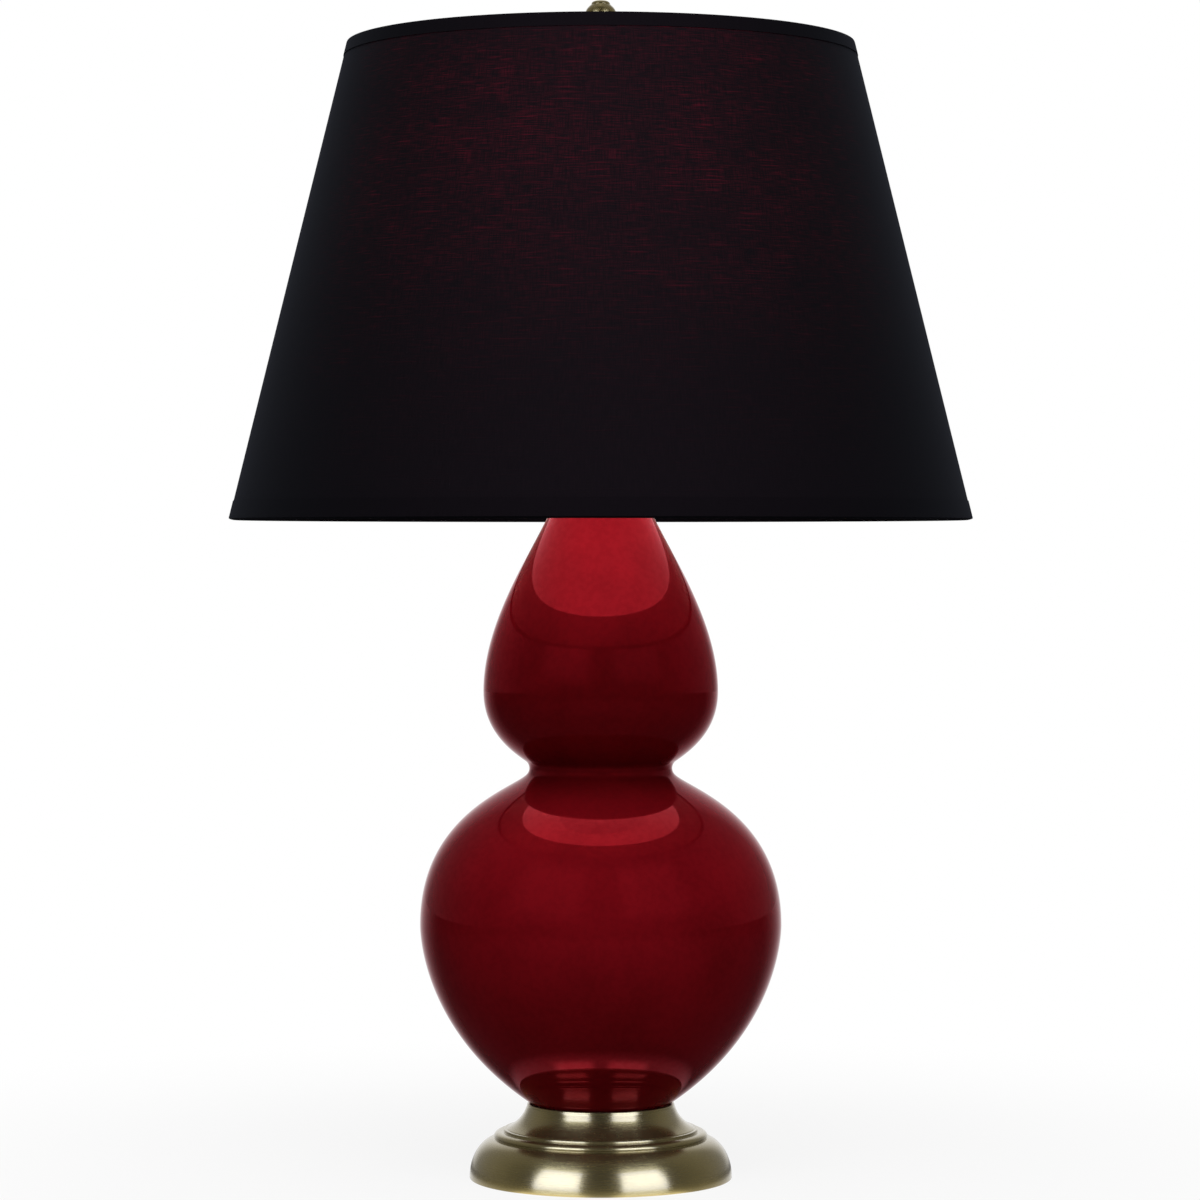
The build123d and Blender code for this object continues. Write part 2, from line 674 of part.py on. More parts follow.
def socket_shell():
    """Brass shell with a rolled mouth."""
    roll = SHELL_T
    mouth = ThreePointArc(
        (SHELL_R, SHELL_TOP_Z - 2 * roll), (SHELL_R + roll, SHELL_TOP_Z - roll), (SHELL_R, SHELL_TOP_Z)
    )
    rest = Polyline(
        mouth @ 1, (SHELL_BORE_R, SHELL_TOP_Z), (SHELL_BORE_R, SHELL_Z), (SHELL_R, SHELL_Z), mouth @ 0
    )
    return shaft_slot(lathe(mouth, *rest.edges()))


def socket_sleeve():
    """Fibre sleeve that insulates the shell."""
    return shaft_slot(ring(SLEEVE_BORE_R, SLEEVE_R, SHELL_Z + RUN, SHELL_TOP_Z - 2 * SHELL_T))


def socket_body():
    """Moulded block that holds the switch, the contacts and the two terminals."""
    block = ring(0, BODY_R, BODY_Z, BODY_TOP_Z) + ring(0, SPIGOT_R, SPIGOT_Z, BODY_Z)
    block = block + rod(SHAFT_BOSS_R, (0, 0, SHAFT_Z), (0, -SHAFT_BOSS_L, SHAFT_Z))
    bearing_end = -SHAFT_BOSS_L + SHAFT_BEARING + FIT
    block = block - rod(SHAFT_R + FIT, (0, -SHAFT_BOSS_L - OVERRUN, SHAFT_Z), (0, bearing_end, SHAFT_Z))
    for side in (-1, 1):
        pocket = Location((side * BODY_R, 0, TERMINAL_Z)) * Box(2 * POCKET_DEPTH, POCKET_W, POCKET_W)
        block = block - pocket
        inner = side * (BODY_R - POCKET_DEPTH - TERMINAL_L - RUN)
        block = block - rod(TERMINAL_R + FIT, (inner, 0, TERMINAL_Z), (side * BODY_R, 0, TERMINAL_Z))
    return block


def terminal_screws():
    """The two wire screws, in the pockets of the lampholder's body."""
    screws = []
    for side in (-1, 1):
        tip = (side * (BODY_R - POCKET_DEPTH - TERMINAL_L), 0, TERMINAL_Z)
        seat = (side * (BODY_R - POCKET_DEPTH), 0, TERMINAL_Z)
        face = (side * (BODY_R - POCKET_DEPTH + TERMINAL_HEAD_T), 0, TERMINAL_Z)
        slot = Location(face) * Box(SLOT_DEPTH * 2, TERMINAL_HEAD_R * 3, SLOT_W)
        screws.append(rod(TERMINAL_R, tip, seat) + rod(TERMINAL_HEAD_R, seat, face) - slot)
    return screws


def screw_shell():
    """Threaded metal shell that takes the bulb, with an open floor round the centre contact."""
    bore = THREAD_SHELL_R - THREAD_SHELL_T
    top_z = BODY_TOP_Z + THREAD_SHELL_H
    return turned(
        (CONTACT_GAP_R, BODY_TOP_Z),
        (THREAD_SHELL_R, BODY_TOP_Z),
        (THREAD_SHELL_R, top_z),
        (bore, top_z),
        (bore, BODY_TOP_Z + THREAD_SHELL_T),
        (CONTACT_GAP_R, BODY_TOP_Z + THREAD_SHELL_T),
    )


def centre_contact():
    """Sprung brass tongue under the bulb's tip."""
    return turned(
        (0, BODY_TOP_Z),
        (CONTACT_R, BODY_TOP_Z),
        (CONTACT_R, BODY_TOP_Z + CONTACT_H / 3),
        (CONTACT_R / 2, BODY_TOP_Z + CONTACT_H / 2),
        (CONTACT_R / 2, CONTACT_TOP_Z),
        (0, CONTACT_TOP_Z),
    )


def switch_shaft():
    """Steel shaft of the rotary switch, with a flat for the knob."""
    inner = -SHAFT_BOSS_L + SHAFT_BEARING
    return rod(SHAFT_R, (0, inner, SHAFT_Z), (0, -SHAFT_BOSS_L - SHAFT_OUT, SHAFT_Z))


def switch_knob():
    """Small tapered turn knob with flutes along it, on the end of the shaft."""
    face_y = -SHAFT_BOSS_L - KNOB_STANDOFF
    end_y = face_y - KNOB_L
    outline = Polyline(
        (0, 0),
        (KNOB_R, 0),
        (KNOB_R, KNOB_BAND_L),
        (KNOB_TIP_R, KNOB_L - KNOB_EASE),
        (KNOB_TIP_R - KNOB_EASE, KNOB_L),
        (0, KNOB_L),
        close=True,
    )
    blank = revolve(make_face(outline.edges()), Axis.Y)
    for index in range(KNOB_FLUTES):
        turn = Rot(0, 360 * index / KNOB_FLUTES, 0)
        out = KNOB_FLUTE_R / 3
        start, end = (KNOB_R + out, KNOB_BAND_L, 0), (KNOB_TIP_R + out, KNOB_L + OVERRUN, 0)
        flute = rod(KNOB_FLUTE_R, start, end)
        blank = blank - turn * flute
    knob = Location((0, face_y, SHAFT_Z)) * (Rot(180, 0, 0) * blank)
    hole_end = max(-SHAFT_BOSS_L - SHAFT_OUT, end_y + KNOB_EASE) - FIT
    return knob - rod(SHAFT_R + FIT, (0, face_y + OVERRUN, SHAFT_Z), (0, hole_end, SHAFT_Z))


# ---------------------------------------------------------------- bulb
def bulb_tip():
    """Solder tip under the bulb."""
    dome = EllipticalCenterArc((0, BUTTON_Z), TIP_R, TIP_H, -90, arc_size=90)
    return lathe(dome, Line(dome @ 1, (0, BUTTON_Z)), Line((0, BUTTON_Z), dome @ 0))


def bulb_button():
    """Black glass insulator between the tip and the screw cap."""
    return turned((0, BUTTON_Z), (TIP_R + BUTTON_STEP, BUTTON_Z), (BUTTON_R, SCREW_Z), (0, SCREW_Z))


def bulb_screw_cap():
    """Thin metal cap: rounded screw ridges, then a plain collar round the glass."""
    root = SCREW_R - SCREW_DEPTH
    bore = root - BULB_CAP_T
    waves = []
    for turn in range(SCREW_TURNS):
        low = SCREW_Z + turn * SCREW_PITCH
        waves.append(ThreePointArc((root, low), (SCREW_R, low + SCREW_PITCH / 2), (root, low + SCREW_PITCH)))
    rest = Polyline(
        (root, SCREW_TOP_Z),
        (SCREW_R, SCREW_TOP_Z + COLLAR_H / 2),
        (SCREW_R, COLLAR_TOP_Z),
        (BULB_NECK_R + FIT, COLLAR_TOP_Z),
        (BULB_NECK_R + FIT, SCREW_TOP_Z + COLLAR_H / 2),
        (bore, SCREW_TOP_Z),
        (bore, SCREW_Z),
        (root, SCREW_Z),
    )
    return lathe(*waves, *rest.edges())


def glass_outline(inset):
    """The bulb's outline from neck to crown: a straight neck, a hollow shoulder and a round top."""
    centre_z = BULB_TOP_Z - BULB_R
    neck = (BULB_NECK_R - inset, COLLAR_TOP_Z + BULB_NECK_L)
    low = along((0, centre_z), 90 + BULB_BELOW, BULB_R - inset)
    side = along((0, centre_z), 45, BULB_R - inset)
    top = (0, BULB_TOP_Z - inset)
    return [
        Line((BULB_NECK_R - inset, SCREW_TOP_Z + COLLAR_H / 2), neck),
        Bezier(neck, along(neck, 0, BULB_NECK_PULL), along(low, 180 + BULB_BELOW, BULB_SHOULDER_PULL), low),
        ThreePointArc(low, side, top),
    ]


def bulb_glass():
    outer = glass_outline(0)
    inner = glass_outline(BULB_GLASS_T)
    ends = [Line(outer[0] @ 0, inner[0] @ 0), Line(outer[-1] @ 1, inner[-1] @ 1)]
    return lathe(*outer, *inner, *ends)


def bulb_stem():
    """Glass stem that carries the filament, flared to meet the neck."""
    low = SCREW_TOP_Z + COLLAR_H / 2
    flare = BULB_NECK_R - BULB_GLASS_T - HOLD
    high = low + STEM_L
    flare_top = (STEM_R, low + STEM_FLARE)
    return turned((0, low), (flare, low), (flare, low + STEM_RIM_T), flare_top, (STEM_R, high), (0, high))


def lead_ends():
    """Where the two lead wires end, each side of the stem."""
    low = SCREW_TOP_Z + COLLAR_H / 2 + STEM_L
    return low, low + LEAD_L


def bulb_leads():
    low, high = lead_ends()
    foot_z = low + HOLD
    return [
        rod(LEAD_R, (side * STEM_R / 2, 0, foot_z), (side * LEAD_SPREAD, 0, high)) for side in (-1, 1)
    ]


def bulb_filament():
    """Coiled filament between the leads, as one round bar on a shallow arc."""
    high = lead_ends()[1] + FILAMENT_R + HOLD
    path = ThreePointArc((-LEAD_SPREAD, 0, high), (0, 0, high + LEAD_SPREAD / 3), (LEAD_SPREAD, 0, high))
    section = Plane(origin=path @ 0, z_dir=path % 0) * Circle(FILAMENT_R)
    return sweep(section, path)


# ---------------------------------------------------------------- harp
def harp_wire():
    """Bent wire loop with a flattened, drilled boss at its top."""
    flare_z = (HARP_HALF_W - LEG_X) / tan(radians(HARP_FLARE))
    bend_z = SADDLE_TOP_Z + LEG_STRAIGHT
    half = [(LEG_X, LEG_FOOT_Z), (LEG_X, bend_z), (HARP_HALF_W, bend_z + flare_z), (HARP_HALF_W, HARP_AXIS_Z)]
    points = [(x, 0, z) for x, z in half] + [(-x, 0, z) for x, z in reversed(half)]
    radii = [HARP_FLARE_R, HARP_FLARE_R, HARP_TOP_R, HARP_TOP_R, HARP_FLARE_R, HARP_FLARE_R]
    path = FilletPolyline(*points, radius=radii)
    section = Plane(origin=path @ 0, z_dir=path % 0) * Circle(WIRE_R)
    boss = rod(HARP_BOSS_R, (0, 0, HARP_TOP_Z - 2 * WIRE_R), (0, 0, HARP_TOP_Z))
    hole = rod(STUD_SHANK_R + FIT, (0, 0, HARP_TOP_Z - 4 * WIRE_R), (0, 0, HARP_TOP_Z + OVERRUN))
    return sweep(section, path) + boss - hole


def harp_ferrule(side):
    """Sleeve that locks one leg of the harp to its prong, and slides up the leg to free it."""
    centre_x = LEG_X - WIRE_R / 2 - RUN
    low = SADDLE_TOP_Z + RUN
    sleeve = ring(FERRULE_R - FERRULE_T, FERRULE_R, low, low + FERRULE_L)
    return Location((side * centre_x, 0, 0)) * sleeve


def harp_stud():
    """Threaded stud that turns in the harp's boss and carries the shade on its seat."""
    boss_low = HARP_TOP_Z - 2 * WIRE_R
    seat_top = STUD_SEAT_Z + STUD_SEAT_T
    stud = turned(
        (0, boss_low - RUN - STUD_HEAD_T),
        (STUD_HEAD_R, boss_low - RUN - STUD_HEAD_T),
        (STUD_HEAD_R, boss_low - RUN),
        (STUD_SHANK_R, boss_low - RUN),
        (STUD_SHANK_R, STUD_SEAT_Z),
        (STUD_SEAT_R, STUD_SEAT_Z),
        (STUD_SEAT_R, seat_top),
        (STUD_R, seat_top),
        (STUD_R, STUD_TOP_Z - STUD_EASE),
        (STUD_R - STUD_EASE, STUD_TOP_Z),
        (0, STUD_TOP_Z),
    )
    for index in range(STUD_GROOVES):
        low = STUD_TOP_Z - STUD_TIP - index * STUD_PITCH
        stud = stud - ring(STUD_R - STUD_GROOVE, STUD_R + OVERRUN, low, low + STUD_PITCH / 2)
    return stud


# ---------------------------------------------------------------- shade
def shade_fabric():
    """Outer fabric of the shade, as one conical skin."""
    return shade_band(0, FABRIC_T, 0, SHADE_SLANT)


def shade_lining():
    """Stiff white lining inside the fabric."""
    return shade_band(LINING_OUT, LINING_IN, 0, SHADE_SLANT)


def arm_path(turn):
    """One arm of the spider: level from the hub, then up to the ring under the top rim."""
    ring_r, ring_z = on_shade(RING_IN, RING_WIRE_R + HOLD)
    start_r = HUB_RING_R + HOLD
    level_z = HUB_RING_Z + HUB_RING_T / 2
    end_r = ring_r - RING_WIRE_R - HOLD
    flat = [(start_r, level_z), (ARM_FLAT_R, level_z), (end_r, ring_z)]
    points = [(r * cos(turn), r * sin(turn), z) for r, z in flat]
    return FilletPolyline(*points, radius=ARM_BEND_R)


def spider_arms(grow=0.0):
    arms = []
    for index in range(ARM_COUNT):
        path = arm_path(radians(90 + 360 * index / ARM_COUNT))
        section = Plane(origin=path @ 0, z_dir=path % 0) * Circle(ARM_R + grow)
        arms.append(sweep(section, path))
    return arms


def shade_hub():
    """Washer at the spider's centre, which drops over the harp's stud."""
    return ring(HUB_RING_HOLE_R, HUB_RING_R, HUB_RING_Z, HUB_RING_TOP_Z)


def top_ring():
    return ring_wire(*on_shade(RING_IN, RING_WIRE_R + HOLD), RING_WIRE_R)


def low_ring():
    return ring_wire(*on_shade(RING_IN, SHADE_SLANT - RING_WIRE_R - HOLD), RING_WIRE_R)


def hem(edge, away):
    """Folded fabric trim round one rim: a band outside, over the edge and a shorter band inside.
    edge is the rim's distance down the slope, and away is 1 where the shade lies below it, or -1."""
    skin = HOLD + HEM_T
    return turned(
        on_shade(-skin, edge - away * skin),
        on_shade(-skin, edge + away * HEM_H),
        on_shade(-HOLD, edge + away * HEM_H),
        on_shade(-HOLD, edge - away * HOLD),
        on_shade(HEM_INSIDE, edge - away * HOLD),
        on_shade(HEM_INSIDE, edge + away * HEM_IN),
        on_shade(HEM_INSIDE + HEM_T, edge + away * HEM_IN),
        on_shade(HEM_INSIDE + HEM_T, edge - away * skin),
    )


def top_hem():
    band = hem(0, 1)
    for arm in spider_arms(grow=HOLD):
        band = band - arm
    return band


def low_hem():
    return hem(SHADE_SLANT, -1)


# ---------------------------------------------------------------- finial
def finial_insert():
    """Threaded brass bush, with a flange that bears on the shade's hub."""
    bore = STUD_R + FIT
    top_z = INSERT_Z + INSERT_H
    return turned(
        (bore, INSERT_Z),
        (INSERT_FLANGE_R, INSERT_Z),
        (INSERT_FLANGE_R, INSERT_Z + INSERT_FLANGE_T),
        (INSERT_R, INSERT_Z + INSERT_FLANGE_T),
        (INSERT_R, top_z),
        (bore, top_z),
    )


def finial_knob():
    """Turned brass knob: beaded base, waisted stem, round shoulder and a small dome on top."""
    base_top = KNOB_LOW_Z + FINIAL_BASE_H
    dome_low = (DOME_R, FINIAL_TOP_Z - DOME_H)
    bell_low = (BELL_R, FINIAL_TOP_Z - BELL_H - DOME_H)
    edge_low = (BELL_R - FINIAL_EDGE_H, bell_low[1] - FINIAL_EDGE_H)
    throat_z = edge_low[1] - (edge_low[1] - base_top) / 3
    base = ThreePointArc(
        (FINIAL_BASE_R, KNOB_LOW_Z),
        (FINIAL_BASE_R + FINIAL_BASE_BULGE, (KNOB_LOW_Z + base_top) / 2),
        (FINIAL_BASE_R, base_top),
    )
    stem = Bezier(
        (FINIAL_STEM_R, base_top),
        (FINIAL_STEM_R, (base_top + throat_z) / 2),
        (FINIAL_WAIST_R, throat_z),
        edge_low,
    )
    edge = Bezier(edge_low, (BELL_R, edge_low[1]), bell_low)
    top = (0, FINIAL_TOP_Z)
    bell = Bezier(
        bell_low,
        along(bell_low, 0, BELL_PULL_LOW),
        along(dome_low, BELL_TOP_LEAN, BELL_PULL_HIGH),
        dome_low,
    )
    dome = Bezier(dome_low, along(dome_low, -DOME_LEAN, DOME_PULL_LOW), along(top, 90, DOME_PULL_HIGH), top)
    hole_r = INSERT_R + FIT
    hole_top = max(INSERT_Z + INSERT_H, STUD_TOP_Z) + RUN
    rest = [
        Line(base @ 1, stem @ 0),
        Polyline(dome @ 1, (0, hole_top), (hole_r, hole_top), (hole_r, KNOB_LOW_Z), base @ 0),
    ]
    return lathe(base, stem, edge, bell, dome, *[edge for part in rest for edge in part.edges()])


# ---------------------------------------------------------------- the parts
PARTS = {
    "base_felt": base_felt,
    "base_board": base_board,
    "base_plinth": base_plinth,
    "cord_bushing": cord_bushing,
    "base_loader": base_loader,
    "base_washer": base_washer,
    "base_nut": base_nut,
    "centre_rod": centre_rod,
    "seat_ring": seat_ring,
    "gourd_lower": gourd_lower,
    "gourd_upper": gourd_upper,
    "cap_ring": cap_ring,
    "vase_cap": vase_cap,
    "neck_spacer": neck_spacer,
    "check_ring": check_ring,
    "harp_saddle": harp_saddle,
    "saddle_nut": saddle_nut,
    "socket_cap": socket_cap,
    "set_screw": set_screw,
    "socket_shell": socket_shell,
    "socket_sleeve": socket_sleeve,
    "socket_body": socket_body,
    "terminal_screws": terminal_screws,
    "screw_shell": screw_shell,
    "centre_contact": centre_contact,
    "switch_shaft": switch_shaft,
    "switch_knob": switch_knob,
    "bulb_tip": bulb_tip,
    "bulb_button": bulb_button,
    "bulb_screw_cap": bulb_screw_cap,
    "bulb_glass": bulb_glass,
    "bulb_stem": bulb_stem,
    "bulb_leads": bulb_leads,
    "bulb_filament": bulb_filament,
    "harp_wire": harp_wire,
    "harp_ferrule_left": lambda: harp_ferrule(-1),
    "harp_ferrule_right": lambda: harp_ferrule(1),
    "harp_stud": harp_stud,
    "shade_hub": shade_hub,
    "spider_arms": spider_arms,
    "top_ring": top_ring,
    "low_ring": low_ring,
    "shade_lining": shade_lining,
    "shade_fabric": shade_fabric,
    "top_hem": top_hem,
    "low_hem": low_hem,
    "finial_insert": finial_insert,
    "finial_knob": finial_knob,
}


def main():
    os.makedirs("parts", exist_ok=True)
    for name, make in PARTS.items():
        made = make()
        items = made if isinstance(made, list) else [made]
        solids = [solid for item in items for solid in item.solids()]
        export_step(Compound(children=solids), f"parts/{name}.step")


main()
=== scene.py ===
"""The looks of a double gourd table lamp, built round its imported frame.

Lengths that make pieces are in millimetres, as in the frame's own drawing, and MM turns them into Blender's
metres. The settings, the materials and the stage are in metres. +Z is up, the front is -Y, and outlines are rows
of (radius, height) turned about Z.
"""

import json
from math import asin, atan, cos, degrees, pi, radians, sin, tan

import bpy
import numpy as np
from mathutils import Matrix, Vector


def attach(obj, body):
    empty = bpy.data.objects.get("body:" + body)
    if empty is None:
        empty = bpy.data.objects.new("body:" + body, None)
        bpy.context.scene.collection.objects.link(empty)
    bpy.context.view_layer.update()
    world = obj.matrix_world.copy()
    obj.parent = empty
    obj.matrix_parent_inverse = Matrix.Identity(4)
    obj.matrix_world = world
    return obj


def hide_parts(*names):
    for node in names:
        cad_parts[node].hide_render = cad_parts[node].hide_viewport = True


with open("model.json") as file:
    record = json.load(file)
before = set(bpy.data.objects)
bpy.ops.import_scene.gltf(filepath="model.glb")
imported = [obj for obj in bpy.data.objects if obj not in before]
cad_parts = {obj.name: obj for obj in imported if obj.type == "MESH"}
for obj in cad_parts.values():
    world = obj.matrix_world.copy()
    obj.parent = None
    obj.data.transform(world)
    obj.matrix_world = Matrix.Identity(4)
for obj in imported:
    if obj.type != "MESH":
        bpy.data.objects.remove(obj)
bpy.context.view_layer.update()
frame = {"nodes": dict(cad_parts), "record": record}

bl_info = {
    "name": "Double Gourd Lamp",
    "version": (1, 0, 0),
    "blender": (4, 5, 0),
    "location": "View3D > Sidebar > Lamp",
    "description": "Builds the glazed, turned and fabric pieces of a table lamp round its frame",
    "category": "Object",
}

MM = 0.001
TAU = 2 * pi
MATERIAL_PREFIX = "lamp_"
BULB_PITCH = 3.63  # screw thread of the bulb and its shell
STUD_PITCH = 0.94  # screw thread of the stud under the finial
BULB_Z = 643.0  # centre of the bulb's globe
OUTLET_Z = 10.2  # height of the outlet at the back of the foot
SHADE_TOP_R, SHADE_LOW_R = 168.8, 247.2  # outer face of the fabric at its rims
SHADE_TOP_Z, SHADE_RISE = 756.9, 316.0
SLOPE = atan((SHADE_LOW_R - SHADE_TOP_R) / SHADE_RISE)  # lean of the shade's wall from upright
SLANT = SHADE_RISE / cos(SLOPE)
NODE_SLOT = {part["node"]: part["material_slot"] for part in frame["record"]["subparts"]}


# ---------------------------------------------------------------- curves of an outline
def along(point, lean, distance):
    """The point that lies distance away, in a direction leaning so many degrees outwards from upright."""
    return (point[0] + distance * sin(radians(lean)), point[1] + distance * cos(radians(lean)))


def bezier(start, pull_start, pull_end, end, count):
    """Cubic curve: the four points weighted by (1-t)^3, 3t(1-t)^2, 3t^2(1-t) and t^3."""
    t = np.linspace(0, 1, count)[:, None]
    corners = [np.array(point, float) for point in (start, pull_start, pull_end, end)]
    weights = ((1 - t) ** 3, 3 * t * (1 - t) ** 2, 3 * t**2 * (1 - t), t**3)
    return sum(weight * corner for weight, corner in zip(weights, corners))


def arc(centre, radii, start, end, count):
    """Part of an ellipse: centre + (a sin A, b cos A), with A running between two leans from upright."""
    a, b = radii
    lean = np.radians(np.linspace(start, end, count))
    return np.stack([centre[0] + a * np.sin(lean), centre[1] + b * np.cos(lean)], 1)


def line(start, end, count=2):
    """Evenly spaced points between two points."""
    t = np.linspace(0, 1, count)[:, None]
    return np.array(start, float) * (1 - t) + np.array(end, float) * t


def joined(*parts):
    """The parts one after another, with points that repeat left out."""
    points = np.vstack([np.atleast_2d(np.array(part, float)) for part in parts])
    keep = np.ones(len(points), bool)
    keep[1:] = np.abs(np.diff(points, axis=0)).max(1) > 1e-6
    return points[keep]


# ---------------------------------------------------------------- surfaces
def grid_mesh(name, points, uv=None, closed=False, crease=35.0):
    """A mesh over a grid of points (rows, columns, 3), in millimetres. Columns close round on themselves, rows
    close too when closed, and a row whose points all meet becomes one pole."""
    rows, columns = points.shape[:2]
    place = np.arange(rows * columns).reshape(rows, columns)
    pole = np.abs(points - points[:, :1]).max((1, 2)) < 1e-6
    place[pole] = place[pole][:, :1]
    if closed:
        place = np.vstack([place, place[:1]])
    low, high = place[:-1], place[1:]
    corners = np.stack([low, np.roll(low, -1, 1), np.roll(high, -1, 1), high], 2)
    if uv is None:
        length = np.linalg.norm(np.diff(points[:, 0], axis=0), axis=1)
        run = np.concatenate([[0], np.cumsum(length)]) * MM
        uv = np.stack(np.meshgrid(np.linspace(0, 1, columns + 1), run), 2)
    if closed:
        uv = np.vstack([uv, uv[-1:] + (uv[-1:] - uv[-2:-1])])
    uv_corners = np.stack([uv[:-1, :-1], uv[:-1, 1:], uv[1:, 1:], uv[1:, :-1]], 2)
    corners, uv_corners = corners.reshape(-1, 4), uv_corners.reshape(-1, 4, 2)
    low_pole = corners[:, 0] == corners[:, 1]
    high_pole = corners[:, 2] == corners[:, 3]
    whole = ~(low_pole & high_pole)
    kept = np.ones(corners.shape, bool)
    kept[:, 1] = ~low_pole
    kept[:, 3] = ~high_pole
    corners, uv_corners, kept = corners[whole], uv_corners[whole], kept[whole]
    used, loops = np.unique(corners[kept], return_inverse=True)
    starts = np.concatenate([[0], np.cumsum(kept.sum(1))[:-1]])
    mesh = bpy.data.meshes.new(name)
    mesh.vertices.add(len(used))
    mesh.vertices.foreach_set("co", (points.reshape(-1, 3)[used] * MM).ravel())
    mesh.loops.add(len(loops))
    mesh.loops.foreach_set("vertex_index", loops.ravel())
    mesh.polygons.add(len(corners))
    mesh.polygons.foreach_set("loop_start", starts)
    mesh.update(calc_edges=True)
    layer = mesh.uv_layers.new(name="Surface")
    layer.data.foreach_set("uv", uv_corners[kept].ravel())
    mesh.polygons.foreach_set("use_smooth", np.ones(len(corners), bool))
    mesh.set_sharp_from_angle(angle=radians(crease))
    mesh.validate()
    made = bpy.data.objects.new(name, mesh)
    bpy.context.scene.collection.objects.link(made)
    return made


def rings(outline, count, start=0.0):
    """Circles round Z: (r cos A, r sin A, z) for each outline point (r, z) and each angle A, from start on."""
    turn = np.linspace(0, TAU, count, endpoint=False) + start
    outline = np.asarray(outline, float)
    radius, height = outline[:, :1], outline[:, 1:]
    return np.stack([radius * np.cos(turn), radius * np.sin(turn), height + 0 * turn], 2)


def turned(name, outline, count=96, closed=False, crease=35.0):
    """Surface of revolution: the outline's points, each carried round Z."""
    return grid_mesh(name, rings(outline, count), closed=closed, crease=crease)


def swept(name, path, across, radius, count=16, crease=35.0, closed=False):
    """Round tube: path + r (cos A * side + sin A * across), where side is the path's direction crossed with
    across. An open tube's ends shrink to poles over a quarter circle."""
    path = np.asarray(path, float)
    radii = np.broadcast_to(np.asarray(radius, float), len(path)).copy()
    if closed:
        heading = np.roll(path, -1, 0) - np.roll(path, 1, 0)
    else:
        heading = np.gradient(path, axis=0)
    heading /= np.linalg.norm(heading, axis=1)[:, None]
    across = np.broadcast_to(np.asarray(across, float), path.shape)
    if not closed:
        lean = np.linspace(0, pi / 2, 5)[1:, None]
        for way in (-1, 1):  # the path is turned round, so that the start and then the end comes last in it
            path, radii, heading, across = path[::-1], radii[::-1], heading[::-1], across[::-1]
            dome = way * heading[-1] * radii[-1] * 0.4
            base = path[-1] - dome
            path = np.vstack([path[:-1], base, base + dome * np.sin(lean)])
            radii = np.concatenate([radii, radii[-1] * np.cos(lean[:, 0])])
            heading = np.vstack([heading, np.repeat(heading[-1:], 4, 0)])
            across = np.vstack([across, np.repeat(across[-1:], 4, 0)])
    side = np.cross(heading, across)
    side /= np.linalg.norm(side, axis=1)[:, None]
    up = np.cross(side, heading)
    turn = np.linspace(0, TAU, count, endpoint=False)
    ring = side[:, None] * np.cos(turn)[None, :, None] + up[:, None] * np.sin(turn)[None, :, None]
    points = path[:, None] + np.where(radii < 1e-6, 0, radii)[:, None, None] * ring
    return grid_mesh(name, points[:, ::-1], closed=closed, crease=crease)


def bent(corners, radii, step):
    """A planar path through corners, each rounded to its own radius: a straight run, then the circle's arc
    C + r (cos a * u + sin a * v) between the two points where it touches the runs."""
    corners = [np.array(corner, float) for corner in corners]
    parts, start = [], corners[0]
    for index, radius in enumerate(radii):
        here, before, after = corners[index + 1], corners[index], corners[index + 2]
        come = (here - before) / np.linalg.norm(here - before)
        leave = (after - here) / np.linalg.norm(after - here)
        turn = np.arccos(np.clip(come @ leave, -1, 1))
        cut = radius * np.tan(turn / 2)
        first = here - come * cut
        inward = leave - come * (come @ leave)
        inward /= np.linalg.norm(inward)
        angle = np.linspace(0, turn, max(4, int(turn * radius / step)))[:, None]
        centre = first + inward * radius
        parts.append(line(start, first, max(2, int(np.linalg.norm(first - start) / step))))
        parts.append(centre - inward * radius * np.cos(angle) + come * radius * np.sin(angle))
        start = here + leave * cut
    parts.append(line(start, corners[-1], max(2, int(np.linalg.norm(corners[-1] - start) / step))))
    return joined(*parts)


def cut_away(piece, *tools):
    """Takes the tools' solids out of the piece, and removes the tools."""
    for tool in tools:
        cut = piece.modifiers.new("Cut", "BOOLEAN")
        cut.object, cut.operation, cut.solver = tool, "DIFFERENCE", "EXACT"
    graph = bpy.context.evaluated_depsgraph_get()
    mesh = bpy.data.meshes.new_from_object(piece.evaluated_get(graph))
    piece.modifiers.clear()
    old = piece.data
    piece.data = mesh
    mesh.name = old.name
    bpy.data.meshes.remove(old)
    mesh.polygons.foreach_set("use_smooth", np.ones(len(mesh.polygons), bool))
    mesh.set_sharp_from_angle(angle=radians(30))
    for tool in tools:
        bpy.data.objects.remove(tool)


def fitted(piece, body, slot, *nodes):
    """Hangs a finished piece on its body, gives it its slot's material, and hides the nodes it stands for."""
    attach(piece, body)
    if nodes:
        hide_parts(*nodes)
    piece.data.materials.clear()
    piece.data.materials.append(material(slot))
    return piece


